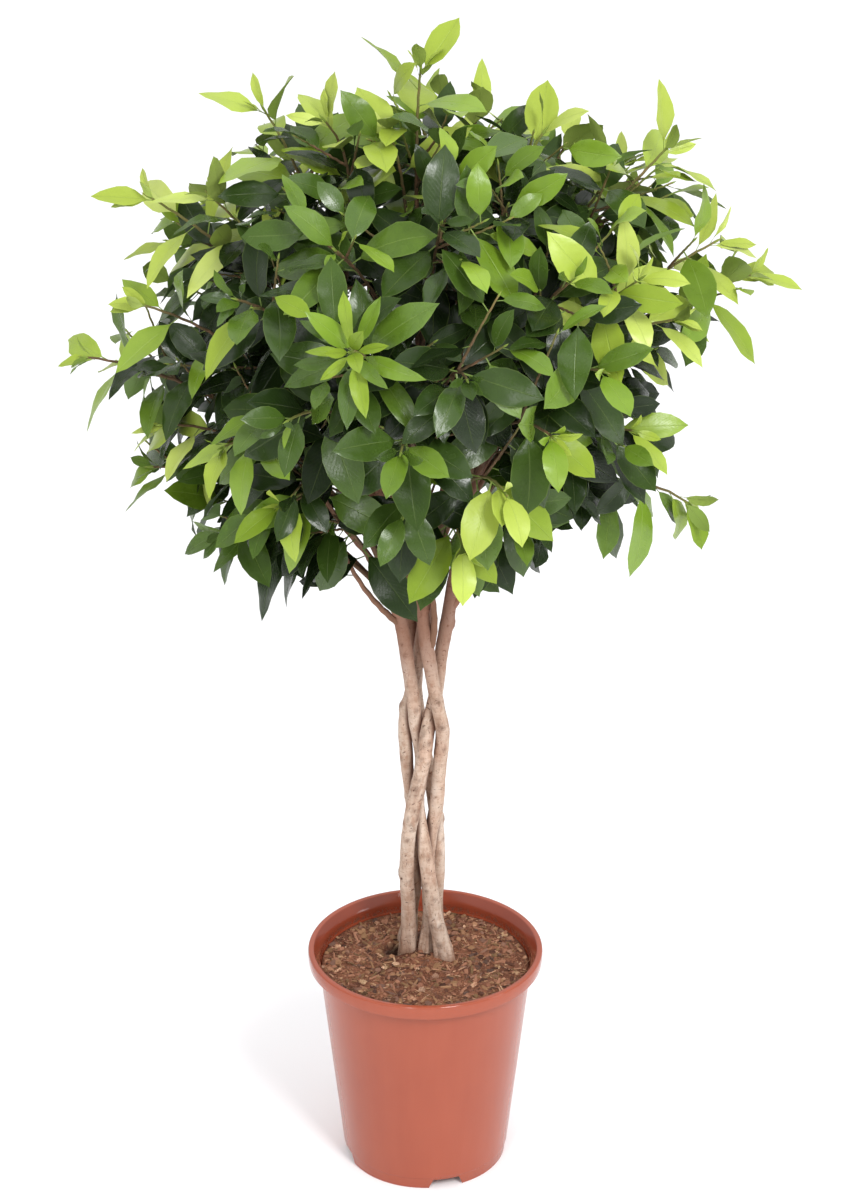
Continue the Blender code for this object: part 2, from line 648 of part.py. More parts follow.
def lay_branches(lines, draw):
    """One branch for each spray, clear of every other stem and its branches."""
    obstacles = [
        obstacle(*tube(line, [stem_radius(s, p.z) + BRANCH_ROOM for p in line], STEM_SIDES), s)
        for s, line in lines.items()
    ]
    branches = {}
    for name, (x, y, z, leaves, age, hang) in spray_places().items():
        tip = Vector((x, y, z))
        stem = nearest_stem(tip, lines)
        for attempt in range(BRANCH_TRIES):
            controls = branch_controls(tip, hang, lines[stem], draw, attempt)
            limb, twig = split_branch(controls)
            limb_wide = [LIMB_RADIUS + BRANCH_ROOM] * len(limb["points"])
            limb_solid = obstacle(*tube(limb["points"], limb_wide, LIMB_SIDES, limb["headings"]), stem)
            twig_solid = obstacle(*twig_tube(twig, BRANCH_ROOM), name)
            free = not hits(limb_solid["tree"], obstacles, limb_solid["centre"], limb_solid["reach"], stem)
            if free and not hits(twig_solid["tree"], obstacles, twig_solid["centre"], twig_solid["reach"]):
                branches[name] = {
                    "stem": stem, "limb": limb, "twig": twig, "leaves": leaves, "age": age, "hang": hang,
                }
                obstacles += [limb_solid, twig_solid]
                break
        else:
            print("no clear way for", name)
    return branches, obstacles


# Leaves


def leaf_solid(root, ahead, face_up, length, width, petiole=PETIOLE_LENGTH, room=0.0):
    """A petiole of three sides that widens into an arched blade with a pointed tip."""
    side = ahead.cross(face_up).normalized()
    bend = math.radians(LEAF_ARCH_DEG)
    half = (LEAF_THICKNESS / 2) + room
    points = []
    for away, radius in ((0.0, PETIOLE_ROOT_RADIUS), (petiole, PETIOLE_RADIUS)):
        centre = root + ahead * away
        size = radius + room
        points += [centre + side * size, centre - side * size, centre - face_up * size * 1.3]
    start = root + ahead * petiole
    for share, breadth in LEAF_SECTIONS:
        turn = bend * share
        centre = start + (ahead * math.sin(turn) - face_up * (1 - math.cos(turn))) * (length / bend)
        normal = face_up * math.cos(turn) + ahead * math.sin(turn)
        reach = width / 2 * breadth + room
        points += [
            centre + side * reach + normal * half,
            centre - side * reach + normal * half,
            centre - side * reach - normal * half,
            centre + side * reach - normal * half,
        ]
    points.append(start + (ahead * math.sin(bend) - face_up * (1 - math.cos(bend))) * ((length + room) / bend))
    faces = [(0, 1, 2), (0, 3, 4, 1), (1, 4, 5, 2), (2, 5, 3, 0)]
    faces += [(3, 6, 7, 4), (4, 7, 8), (4, 8, 5), (5, 8, 9), (5, 9, 3), (3, 9, 6)]
    for ring in range(len(LEAF_SECTIONS) - 1):
        a = 6 + 4 * ring
        for k in range(4):
            b, c = a + k, a + (k + 1) % 4
            faces.append((b, b + 4, c + 4, c))
    last, tip = 6 + 4 * (len(LEAF_SECTIONS) - 1), len(points) - 1
    faces += [(last + k, tip, last + (k + 1) % 4) for k in range(4)]
    return points, faces


def leaf_pose(twig_point, axis, index, turn, hang, draw, attempt):
    """Direction and upward side of one leaf: golden-angle turns round the twig, drooping with age."""
    side = axis.orthogonal().normalized()
    stray = 0.10 + 0.09 * attempt
    turn += draw.uniform(-stray, stray)
    radial = side * math.cos(turn) + axis.cross(side) * math.sin(turn)
    spread = math.radians(LEAF_SPREAD_DEG[min(index, 4)] + draw.uniform(-6, 6) - 1.2 * attempt)
    ahead = axis * math.cos(spread) + radial * math.sin(spread)
    droop = (0.10 + 0.07 * min(index, 4)) * (1 + min(hang, 0.0)) + 0.85 * max(hang, 0.0) + draw.uniform(-0.1, 0.1)
    ahead = (ahead - Vector((0, 0, 1)) * droop).normalized()
    outward = (twig_point - CROWN_CENTRE).normalized()
    facing = -LEAF_FACING if twig_point.y < 0.03 else LEAF_FACING
    lean = Vector((0, facing, 0.75)) + axis * 0.50 + outward * 0.45
    lean += Vector([draw.uniform(-LEAF_ROLL, LEAF_ROLL) for _ in range(3)])
    face_up = (lean - ahead * lean.dot(ahead)).normalized()
    return ahead, face_up


def inside_crown(points):
    return all(
        abs(p.x) <= CROWN_LIMIT.x and abs(p.y) <= CROWN_LIMIT.y and CROWN_LOWEST_LEAF <= p.z <= CROWN_LIMIT.z
        for p in points
    )


def lay_leaves(branches, obstacles, draw):
    """Every spray's leaves, each clear of all that is already there."""
    leaves = {}
    for name, branch in branches.items():
        leaves[name] = []
        first_turn = draw.uniform(0, 2 * math.pi)
        twig = branch["twig"]["points"]
        lengths = [0.0]
        for a, b in zip(twig, twig[1:]):
            lengths.append(lengths[-1] + (b - a).length)
        for index in range(branch["leaves"]):
            away = 0.005 + INTERNODE * index
            if away > lengths[-1] - 0.012:
                break
            place = lengths[-1] - away
            k = max(i for i in range(len(twig) - 1) if lengths[i] <= place)
            axis = (twig[k + 1] - twig[k]).normalized()
            root = twig[k] + axis * (place - lengths[k])
            young = LEAF_YOUNG_SHARE[index] if index < len(LEAF_YOUNG_SHARE) else 1.0
            size = LEAF_LENGTH * young * draw.uniform(0.88, 1.10)
            for attempt in range(LEAF_TRIES):
                ahead, face_up = leaf_pose(
                    root, axis, index, first_turn + GOLDEN_ANGLE * index, branch["hang"], draw, attempt
                )
                length = size * (1 - 0.012 * attempt)
                width = length * LEAF_WIDTH_SHARE
                points, faces = leaf_solid(root, ahead, face_up, length, width)
                wide_root = root + ahead * (PETIOLE_LENGTH * 0.45)
                wide, wide_faces = leaf_solid(
                    wide_root, ahead, face_up, length, width, PETIOLE_LENGTH * 0.55, LEAF_ROOM
                )
                candidate = obstacle(wide, wide_faces, name)
                bare = obstacle(points, faces, name)
                if not inside_crown(points):
                    continue
                if hits(candidate["tree"], obstacles, candidate["centre"], candidate["reach"]):
                    continue
                if hits(bare["tree"], obstacles, bare["centre"], bare["reach"], name):
                    continue
                obstacles.append(bare)
                leaves[name].append((points, faces))
                break
    return leaves


# Solids


def helper_collection(name):
    made = bpy.data.collections.new(name)
    bpy.context.scene.collection.children.link(made)
    return made


def make_stem(stem, line, branches):
    radii = [stem_radius(stem, p.z) for p in line]
    trunk = mesh_object(stem, *tube(line, radii, STEM_SIDES), "bark")
    limbs = helper_collection(stem + "_limbs")
    for name, branch in branches.items():
        if branch["stem"] != stem:
            continue
        points = branch["limb"]["points"]
        thick = min(LIMB_RADIUS, LIMB_STEM_SHARE * stem_radius(stem, points[0].z))
        taper = [thick + (TWIG_RADIUS - thick) * i / LIMB_STEPS for i in range(len(points))]
        mesh_object(name + "_limb", *tube(points, taper, LIMB_SIDES, branch["limb"]["headings"]), None, limbs)
    apply_boolean(trunk, "UNION", collection=limbs)
    trunk.data.shade_smooth()
    trunk.data.set_sharp_from_angle(angle=math.radians(60))


def make_spray(name, branch, leaves):
    slot = "leaf_young" if branch["age"] > 0.65 else "leaf_old"
    spray = mesh_object("spray_" + name, *twig_tube(branch["twig"]), slot)
    blades = helper_collection(name + "_blades")
    for i, (points, faces) in enumerate(leaves):
        mesh_object(f"{name}_blade_{i}", points, faces, None, blades)
    apply_boolean(spray, "UNION", collection=blades)


def main():
    clear_scene()
    draw = random.Random(DRAW_SEED)
    lines = braid()
    branches, obstacles = lay_branches(lines, draw)
    leaves = lay_leaves(branches, obstacles, draw)
    make_pot()
    make_soil(lines)
    for stem, line in lines.items():
        make_stem(stem, line, branches)
    for name, branch in branches.items():
        make_spray(name, branch, leaves[name])
    print(len(branches), "sprays,", sum(len(found) for found in leaves.values()), "leaves")


main()
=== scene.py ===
# %% [markdown]
# # Potted braided ficus
# A small indoor tree: a moulded nursery pot, bark potting mix, five stems braided while they were young,
# and a round head of oval leaves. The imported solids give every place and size. This script dresses them, so
# each solid is replaced by a finer piece of the same form, in metres, in the same frame.

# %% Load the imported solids
import json
import math
import random
from collections import defaultdict

import bpy
from mathutils import Euler, Matrix, Vector, noise
from mathutils.bvhtree import BVHTree

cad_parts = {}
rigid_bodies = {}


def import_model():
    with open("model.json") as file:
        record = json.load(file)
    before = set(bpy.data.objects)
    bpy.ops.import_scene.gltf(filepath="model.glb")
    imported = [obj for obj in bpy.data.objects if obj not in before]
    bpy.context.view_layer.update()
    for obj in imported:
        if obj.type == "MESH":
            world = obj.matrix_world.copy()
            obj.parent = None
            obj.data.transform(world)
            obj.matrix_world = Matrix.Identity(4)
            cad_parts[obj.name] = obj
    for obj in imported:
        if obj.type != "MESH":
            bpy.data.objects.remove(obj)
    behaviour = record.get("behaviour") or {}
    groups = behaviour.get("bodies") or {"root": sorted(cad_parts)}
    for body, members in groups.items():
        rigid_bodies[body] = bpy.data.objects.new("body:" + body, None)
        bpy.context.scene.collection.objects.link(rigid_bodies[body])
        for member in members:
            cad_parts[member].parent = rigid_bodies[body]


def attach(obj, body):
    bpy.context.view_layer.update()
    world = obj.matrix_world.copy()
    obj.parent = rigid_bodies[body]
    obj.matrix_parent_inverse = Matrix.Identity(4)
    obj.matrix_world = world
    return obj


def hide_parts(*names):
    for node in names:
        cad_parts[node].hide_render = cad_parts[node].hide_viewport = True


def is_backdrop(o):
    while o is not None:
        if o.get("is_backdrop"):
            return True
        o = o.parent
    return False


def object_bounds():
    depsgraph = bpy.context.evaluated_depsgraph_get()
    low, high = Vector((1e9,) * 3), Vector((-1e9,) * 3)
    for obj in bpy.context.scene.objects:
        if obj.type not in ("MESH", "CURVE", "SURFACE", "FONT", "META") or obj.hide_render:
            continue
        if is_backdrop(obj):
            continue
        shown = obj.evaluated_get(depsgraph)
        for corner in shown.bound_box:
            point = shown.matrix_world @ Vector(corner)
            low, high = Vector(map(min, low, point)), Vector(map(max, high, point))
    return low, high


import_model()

cad_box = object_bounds()
print("the solids reach from", [round(v, 3) for v in cad_box[0]], "to", [round(v, 3) for v in cad_box[1]])

# %% [markdown]
# ## Helpers for node trees
# Materials and Geometry Nodes are both trees of nodes joined by links. `put` makes one node with its
# settings and feeds its sockets, and `out` gives one of its outputs as a wire. Arithmetic with wires lays
# Math nodes, so a finish reads like a formula. Some nodes keep hidden sockets with the same name as a shown
# one, so a socket is looked up among the shown ones only.


# %% Node helpers
def shown_socket(sockets, name):
    if isinstance(name, int):
        return sockets[name]
    return next(s for s in sockets if s.enabled and name in (None, s.name))


def connect(tree, socket, value):
    """Links a wire to a socket, or sets a plain value there."""
    if isinstance(value, Wire):
        tree.links.new(value.socket, socket)
    else:
        socket.default_value = value


def put(tree, kind, feeds=None, **settings):
    """A new node, with its settings, and each named or counted socket fed."""
    node = tree.nodes.new(kind)
    for name, value in settings.items():
        setattr(node, name, value)
    for name, value in (feeds or {}).items():
        connect(tree, shown_socket(node.inputs, name), value)
    return node


def out(node, name=None):
    return Wire(shown_socket(node.outputs, name))


class Wire:
    """What one output of a node gives: a number, a place or a colour."""

    def __init__(self, socket):
        self.socket, self.tree = socket, socket.id_data

    def math(self, operation, other=0.0):
        return out(put(self.tree, "ShaderNodeMath", {0: self, 1: other}, operation=operation))

    def __add__(self, other):
        return self.math("ADD", other)

    def __sub__(self, other):
        return self.math("SUBTRACT", other)

    def __mul__(self, other):
        return self.math("MULTIPLY", other)

    def fade(self, low, high, start=0.0, end=1.0):
        """The number from low to high, mapped smoothly to start..end and held there."""
        feeds = {"Value": self, "From Min": low, "From Max": high, "To Min": start, "To Max": end}
        return out(put(self.tree, "ShaderNodeMapRange", feeds, interpolation_type="SMOOTHSTEP"))

    def mixed(self, other, factor, blend="MIX"):
        """This colour with another over it by a factor."""
        feeds = {"Factor": factor, "A": self, "B": other}
        return out(put(self.tree, "ShaderNodeMix", feeds, data_type="RGBA", blend_type=blend))

    def ramp(self, *stops):
        """A colour band that the number picks from, with stops (place, red, green, blue)."""
        node = put(self.tree, "ShaderNodeValToRGB", {0: self})
        band = node.color_ramp.elements
        band[0].position, band[1].position = stops[0][0], stops[-1][0]
        band[0].color, band[1].color = paint(*stops[0][1:]), paint(*stops[-1][1:])
        for place, *colour in stops[1:-1]:
            band.new(place).color = paint(*colour)
        return out(node, "Color")

    def grain(self, scale, detail=3.0, rough=0.55):
        """Noise at this place, 0 to 1."""
        feeds = {0: self, "Scale": scale, "Detail": detail, "Roughness": rough}
        return out(put(self.tree, "ShaderNodeTexNoise", feeds), 0)

    def stretched(self, x, y, z):
        return out(put(self.tree, "ShaderNodeMapping", {"Vector": self, "Scale": (x, y, z)}))

    def part(self, axis):
        return out(put(self.tree, "ShaderNodeSeparateXYZ", {0: self}), axis)

    def relief(self, depth):
        """The number as a bump of that depth in metres."""
        return out(put(self.tree, "ShaderNodeBump", {"Height": self, "Distance": depth, "Strength": 1.0}))


def attribute(tree, name):
    return out(put(tree, "ShaderNodeAttribute", attribute_name=name), "Fac")


def paint(red, green, blue):
    """A screen colour, 0 to 255 each, as the linear colour that nodes work in."""
    parts = [c / 255 for c in (red, green, blue)]
    return (*[c / 12.92 if c <= 0.04045 else ((c + 0.055) / 1.055) ** 2.4 for c in parts], 1.0)


def new_finish(name):
    """An empty material, its tree and the place of each point on the object."""
    finish = bpy.data.materials.new(name)
    finish.use_nodes = True
    return finish, finish.node_tree, out(put(finish.node_tree, "ShaderNodeTexCoord"), "Object")


def feed(tree, **feeds):
    """Feeds the material's shader, whose sockets are named with _ for each blank."""
    for name, value in feeds.items():
        connect(tree, tree.nodes["Principled BSDF"].inputs[name.replace("_", " ")], value)


# %% [markdown]
# ## Helpers for pieces
# Each piece is a plain mesh whose object sits at the origin. It rides on the one body, and the imported
# solids that it stands for are hidden.


# %% Piece helpers
def mesh_piece(name, points, faces, finish=None, sharp_deg=None):
    mesh = bpy.data.meshes.new(name)
    mesh.from_pydata([tuple(p) for p in points], [], faces)
    mesh.update()
    if finish:
        mesh.materials.append(finish)
    smooth(mesh, sharp_deg)
    piece = bpy.data.objects.new(name, mesh)
    bpy.context.scene.collection.objects.link(piece)
    return piece


def smooth(mesh, sharp_deg):
    """Shades a mesh smoothly, apart from edges that turn by more than an angle if one is given."""
    mesh.shade_smooth()
    if sharp_deg:
        mesh.set_sharp_from_angle(angle=math.radians(sharp_deg))


def give(piece, name, values, kind="FLOAT", domain="POINT"):
    """Stores one value for each point or face of a piece under a name."""
    layer = piece.data.attributes.new(name, kind, domain)
    if kind == "FLOAT_VECTOR":
        layer.data.foreach_set("vector", [c for v in values for c in v])
    else:
        layer.data.foreach_set("value", values)


def baked(piece):
    """Turns a piece's modifiers into plain mesh."""
    graph = bpy.context.evaluated_depsgraph_get()
    result = piece.evaluated_get(graph)
    made = bpy.data.meshes.new_from_object(result, preserve_all_data_layers=True, depsgraph=graph)
    piece.modifiers.clear()
    piece.data = made


def hand_over(piece, slot, *nodes):
    """Puts a finished piece on the body and hides the solids that it stands for. The slot is not used."""
    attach(piece, "root")
    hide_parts(*nodes)
    triangles = sum(len(face.vertices) - 2 for face in piece.data.polygons)
    print(piece.name, "has", triangles, "triangles and stands for", len(nodes), "solids")


# %% [markdown]
# ## The pot
# The pot is one injection-moulded part, so it is a shape of revolution: a profile of radius and height
# turned round the upright axis. A rolled rim, a small step over the foot and a raised floor are all in that
# profile. Each corner of the profile is eased by a short curve, because moulded plastic has no knife edges,
# and those curves catch the light along the rim. The drainage cut-outs break the symmetry, so they are cut
# afterwards.

# %% Sizes of the pot
POT_HEIGHT = 0.2395
POT_FOOT_RADIUS = 0.0825
POT_STEP_HEIGHT = 0.0120
POT_STEP = 0.0012
POT_NECK_RADIUS = 0.1085
POT_NECK_HEIGHT = 0.2225
POT_RIM_RADIUS = 0.120
POT_MOUTH_RADIUS = 0.1125
POT_WALL = 0.0020
POT_LIP_WIDTH = 0.0020
POT_LIP_BOTTOM = 0.2250
POT_LIP_HOLLOW = Vector((0.1150, 0.2368))
POT_FOOT_WIDTH = 0.0045
POT_FLOOR_UNDERSIDE = 0.0130
POT_FLOOR_TOP = 0.0155
NOTCH_COUNT = 4
NOTCH_FIRST_DEG = -75.0
NOTCH_WIDTH = 0.038
NOTCH_TOP_WIDTH = 0.027
NOTCH_HEIGHT = 0.0105
NOTCH_REACH = (0.018, 0.012)
NOTCH_BELOW = 0.002
DRAIN_RADIUS = 0.006
DRAIN_RING_RADIUS = 0.048
DRAIN_SIDES = 24
CUT_PAST = 0.003
POT_SIDES = 160
POT_SHARP_DEG = 32
EASE_STEPS = 4
print("the pot is", POT_HEIGHT * 1000, "mm high and", POT_RIM_RADIUS * 2000, "mm across its rim")


# %% The turned body
def inner_wall_radius(height):
    share = (height - POT_FLOOR_TOP) / (POT_NECK_HEIGHT - POT_FLOOR_TOP)
    low = POT_FOOT_RADIUS + (POT_NECK_RADIUS - POT_FOOT_RADIUS) * POT_FLOOR_TOP / POT_NECK_HEIGHT - POT_WALL
    return low + (POT_NECK_RADIUS - POT_WALL - low) * share


def turned(profile, sides):
    """Points and faces of a profile of (radius, height) turned round Z. A zero radius is a pole."""
    made, faces, rings = [], [], []
    for radius, height in profile:
        count = sides if radius else 1
        rings.append([len(made) + k for k in range(count)])
        for k in range(count):
            turn = 2 * math.pi * k / sides
            made.append(Vector((radius * math.cos(turn), radius * math.sin(turn), height)))
    for low, high in zip(rings, rings[1:] + rings[:1]):
        if len(low) == 1 and len(high) == 1:
            continue
        for k in range(sides):
            n = (k + 1) % sides
            if len(low) == 1:
                faces.append((low[0], high[n], high[k]))
            elif len(high) == 1:
                faces.append((low[k], low[n], high[0]))
            else:
                faces.append((low[k], low[n], high[n], high[k]))
    return made, faces


def eased(corners):
    """A profile whose corners (radius, height, easing) become short curves."""
    made = []
    for i, (radius, height, cut) in enumerate(corners):
        here = Vector((radius, height))
        if cut == 0:
            made.append((radius, height))
            continue
        before, after = Vector(corners[i - 1][:2]), Vector(corners[(i + 1) % len(corners)][:2])
        start = here + (before - here).normalized() * cut
        end = here + (after - here).normalized() * cut
        for k in range(EASE_STEPS + 1):
            t = k / EASE_STEPS
            made.append(tuple(start * (1 - t) ** 2 + here * (2 * t * (1 - t)) + end * t**2))
    return made


FOOT_INSIDE = POT_FOOT_RADIUS - POT_FOOT_WIDTH
POT_CORNERS = [
    (POT_FOOT_RADIUS, 0.0, 0.0008),
    (POT_FOOT_RADIUS + POT_STEP, POT_STEP_HEIGHT, 0.0004),
    (POT_FOOT_RADIUS + 2 * POT_STEP, POT_STEP_HEIGHT + POT_STEP, 0.0006),
    (POT_NECK_RADIUS, POT_NECK_HEIGHT, 0.0020),
    (POT_LIP_HOLLOW.x, POT_LIP_HOLLOW.y, 0.0010),
    (POT_RIM_RADIUS - POT_LIP_WIDTH, POT_LIP_BOTTOM, 0.0006),
    (POT_RIM_RADIUS - 0.0010, POT_LIP_BOTTOM, 0.0005),
    (POT_RIM_RADIUS, POT_HEIGHT - 0.0060, 0.0040),
    (POT_RIM_RADIUS - 0.0008, POT_HEIGHT, 0.0026),
    (POT_MOUTH_RADIUS + 0.0016, POT_HEIGHT - 0.0004, 0.0012),
    (inner_wall_radius(POT_NECK_HEIGHT) + 0.0014, POT_HEIGHT - 0.0100, 0.0030),
    (inner_wall_radius(POT_FLOOR_TOP), POT_FLOOR_TOP, 0.0020),
    (0.0, POT_FLOOR_TOP, 0),
    (0.0, POT_FLOOR_UNDERSIDE, 0),
    (FOOT_INSIDE, POT_FLOOR_UNDERSIDE, 0.0010),
    (FOOT_INSIDE, 0.0, 0.0006),
]


# %% Drainage cut-outs
def headings_of(points):
    last = len(points) - 1
    return [(points[min(i + 1, last)] - points[max(i - 1, 0)]).normalized() for i in range(last + 1)]


def tube(points, radii, sides, headings=None, pointed=False):
    """Points and faces of a closed tapered tube along points; pointed ends it in one vertex."""
    made, faces = [], []
    headings = headings or headings_of(points)
    side = headings[0].orthogonal().normalized()
    rings = len(points) - 1 if pointed else len(points)
    for i in range(rings):
        ahead = headings[i]
        side = (side - ahead * side.dot(ahead)).normalized()
        across = ahead.cross(side)
        for k in range(sides):
            turn = 2 * math.pi * k / sides
            made.append(points[i] + (side * math.cos(turn) + across * math.sin(turn)) * radii[i])
    for i in range(rings - 1):
        for k in range(sides):
            a, b = i * sides + k, i * sides + (k + 1) % sides
            faces.append((a, b, b + sides, a + sides))
    faces.append(tuple(reversed(range(sides))))
    top = (rings - 1) * sides
    if pointed:
        made.append(points[-1])
        faces += [(top + k, top + (k + 1) % sides, len(made) - 1) for k in range(sides)]
    else:
        faces.append(tuple(range(top, top + sides)))
    return made, faces


def notch_cutter(turn):
    """A wedge with slanting sides that opens the foot ring for drainage."""
    wide, slim = NOTCH_WIDTH / 2, NOTCH_TOP_WIDTH / 2
    section = ((-wide, -NOTCH_BELOW), (wide, -NOTCH_BELOW), (slim, NOTCH_HEIGHT), (-slim, NOTCH_HEIGHT))
    spin, corners = Matrix.Rotation(turn, 3, "Z"), []
    for radius in (POT_FOOT_RADIUS - NOTCH_REACH[0], POT_FOOT_RADIUS + NOTCH_REACH[1]):
        corners += [spin @ Vector((radius, half, height)) for half, height in section]
    faces = [(3, 2, 1, 0), (4, 5, 6, 7), (0, 1, 5, 4), (1, 2, 6, 5), (2, 3, 7, 6), (3, 0, 4, 7)]
    return corners, faces


def drain_cutter(x, y):
    ends = [Vector((x, y, POT_FLOOR_UNDERSIDE - CUT_PAST)), Vector((x, y, POT_FLOOR_TOP + CUT_PAST))]
    return tube(ends, [DRAIN_RADIUS] * 2, DRAIN_SIDES)


def joined(shapes):
    points, faces = [], []
    for more_points, more_faces in shapes:
        start = len(points)
        points += more_points
        faces += [tuple(start + i for i in face) for face in more_faces]
    return points, faces


def cut_away(piece, cutter):
    """Takes the cutter's shape out of the piece."""
    step = piece.modifiers.new("cut", "BOOLEAN")
    step.operation, step.solver, step.object = "DIFFERENCE", "EXACT", cutter
    baked(piece)
    bpy.data.objects.remove(cutter, do_unlink=True)


# %% [markdown]
# The plastic is a satin terracotta colour all through. Up close it has faint upright streaks from the
# mould, a little mottling, and a dusting of mix on the inside wall just above the fill. Two noises do this:
# one stretched tall for the streaks and one even. Roughness follows the same noises, so highlights break up
# a little too, and the lip is more polished than the wall. The inside wall above the fill is painted
# darker as painted shade.


# %% Terracotta plastic
LIP_POLISH = 0.13
INSIDE_SLOPE = 0.40
INSIDE_START = POT_NECK_RADIUS - 0.001 - POT_NECK_HEIGHT * INSIDE_SLOPE


def terracotta_plastic():
    finish, tree, place = new_finish("terracotta_plastic")
    streaks, mottling = place.stretched(1.0, 1.0, 0.04).grain(90.0, 2.0), place.grain(9.0)
    shade = streaks * 0.30 + mottling * 0.70
    colour = shade.ramp((0.30, 154, 72, 48), (0.52, 159, 76, 51), (0.72, 164, 80, 55))
    height = place.part(2)
    flat = put(tree, "ShaderNodeVectorMath", {0: place.stretched(1.0, 1.0, 0.0)}, operation="LENGTH")
    past_wall = out(flat, "Value") - (height * INSIDE_SLOPE + INSIDE_START)
    inside = past_wall.fade(-0.0004, 0.0004, 1.0, 0.0) * height.fade(0.200, 0.202)
    # painted shade: the inside wall above the fill is painted a darker brown-orange
    colour = colour.mixed(paint(132, 58, 38), inside * 0.80)
    dust = inside * height.fade(0.221, 0.230, 1.0, 0.0) * place.grain(260.0, 5.0, 0.7).fade(0.44, 0.62)
    colour = colour.mixed(paint(96, 56, 40), dust)
    # the colour turns darker and duller in mottled patches towards the foot
    darker_near_foot = height.fade(0.0, 0.016, 1.0, 0.0) * mottling.fade(0.45, 0.7)
    colour = colour.mixed(paint(130, 76, 60), darker_near_foot * 0.30)
    lip = height.fade(POT_LIP_BOTTOM - 0.002, POT_LIP_BOTTOM, 0.0, LIP_POLISH)
    rough = shade.fade(0.3, 0.7, 0.20, 0.27) + dust * 0.4 - lip
    feed(tree, Base_Color=colour, Roughness=rough, Specular_IOR_Level=0.5)
    feed(tree, Normal=place.grain(1100.0, 2.0).relief(0.00003))
    return finish


# %% Make the pot
pot = mesh_piece("pot_shell", *turned(eased(POT_CORNERS), POT_SIDES), terracotta_plastic())
notch_turns = [math.radians(NOTCH_FIRST_DEG + 360 * k / NOTCH_COUNT) for k in range(NOTCH_COUNT)]
drain_turns = [turn + math.pi / NOTCH_COUNT for turn in notch_turns]
ring = [(DRAIN_RING_RADIUS * math.cos(turn), DRAIN_RING_RADIUS * math.sin(turn)) for turn in drain_turns]
cut_outs = [notch_cutter(turn) for turn in notch_turns] + [drain_cutter(x, y) for x, y in [(0, 0), *ring]]
cut_away(pot, mesh_piece("cut_outs", *joined(cut_outs)))
pot.data.set_sharp_from_angle(angle=math.radians(POT_SHARP_DEG))
hand_over(pot, "pot_plastic", "pot")

# %% [markdown]
# ## The braid's lines
# The five stems keep the lines that the solids were built on: heights with a place for each stem, read off
# in tenths of a millimetre, joined smoothly, then pushed apart until no two stems meet. The rule is
# the solids' own, because every limb, twig and leaf hangs on these lines.

# %% Lines and sizes of the stems
SOIL_EDGE_HEIGHT = 0.2190
SOIL_HEAP = 0.0034
SOIL_LUMP = 0.0012
GAP = 0.0003
STEM_SIDES = 7
STEM_BOTTOM = 0.150
STEM_COLLAR = 0.229
STEM_STEP = 0.0223
STEM_CROWN_STEP = 0.066
STEM_TOP = 0.960
STEM_FOOT_RADIUS = 0.0092
STEM_FORK_HEIGHT = 0.63
STEM_FORK_RADIUS = 0.0066
STEM_TOP_RADIUS = 0.0026
STEM_FLARE_HEIGHT = 0.060
STEM_ROOM = 1.055
BRAID_SWEEPS = 240
BRAID_LAST_SWEEPS = 80
BRAID_PULL = 0.05
BRAID_EASE = 0.03
STEM_RADII = {"stem_1": 0.0076, "stem_2": 0.0076, "stem_3": 0.0073, "stem_4": 0.0067, "stem_5": 0.0067}
STEM_LINES = {
    "stem_1": [
        (2200, -175, 230), (2480, -169, 185), (2700, -168, 145), (2930, -174, 100), (3160, -188, 50),
        (3380, -188, 10), (3610, -172, -30), (3820, -145, -60), (4020, -126, -60), (4220, -97, -60),
        (4420, -42, -60), (4670, -5, -55), (4830, 3, -40), (5000, 41, -15), (5170, 99, 35), (5350, 119, 75),
        (5540, 138, 100), (5740, 163, 110), (5940, 202, 100), (6150, 225, 80), (6360, 240, 70),
        (8000, 520, -100), (9600, 850, -220),
    ],
    "stem_2": [
        (2300, 189, 65), (2560, 119, 50), (2780, 90, 20), (2990, 65, 0), (3200, 33, -20), (3400, 15, -20),
        (3580, -21, 10), (3750, -55, 65), (3940, -90, 88), (4140, -85, 90), (4340, -40, 90),
        (4590, -15, 100), (4760, -60, 90), (4970, -97, 35), (5190, -119, 0), (5400, -143, -20),
        (5610, -168, -30), (5800, -195, -30), (6000, -229, -30), (6200, -244, -30), (6400, -268, -30),
        (8000, -520, -180), (9600, -800, -300),
    ],
    "stem_3": [
        (2240, 15, 160), (2470, 46, 195), (2690, 56, 175), (2900, 41, 160), (3110, 20, 140), (3310, 10, 135),
        (3500, 20, 155), (3690, 56, 170), (3930, 106, 105), (4160, 125, 60), (4360, 135, 50),
        (4630, 148, 25), (4830, 149, -40), (5050, 143, -115), (5250, 106, -115), (5440, 81, -90),
        (5630, 44, -70), (5810, 7, -50), (6010, -15, -45), (6220, -26, -60), (6420, -31, -70),
        (8000, -40, -480), (9600, -60, -820),
    ],
    "stem_4": [
        (2120, 165, 360), (2380, 123, 350), (2590, 103, 340), (2800, 113, 320), (3010, 128, 305),
        (3220, 129, 295), (3420, 132, 295), (3620, 122, 305), (3840, 101, 265), (4060, 76, 230),
        (4260, 50, 245), (4500, -9, 265), (4670, -15, 270), (4850, -55, 270), (5040, -92, 290),
        (5250, -109, 285), (5440, -86, 300), (5650, -99, 285), (5860, -133, 275), (6060, -153, 270),
        (6260, -172, 275), (8000, -400, 460), (9600, -560, 700),
    ],
    "stem_5": [
        (2080, -160, 435), (2370, -165, 375), (2600, -147, 330), (2820, -119, 290), (3050, -102, 250),
        (3260, -109, 225), (3480, -122, 200), (3680, -131, 195), (3860, -131, 235), (4060, -136, 235),
        (4290, -180, 185), (4570, -195, 135), (4740, -191, 140), (4920, -194, 125), (5120, -154, 135),
        (5320, -129, 135), (5510, -89, 150), (5710, -49, 160), (5900, -25, 185), (6080, -5, 225),
        (6270, 20, 255), (8000, 300, 500), (9600, 440, 760),
    ],
}
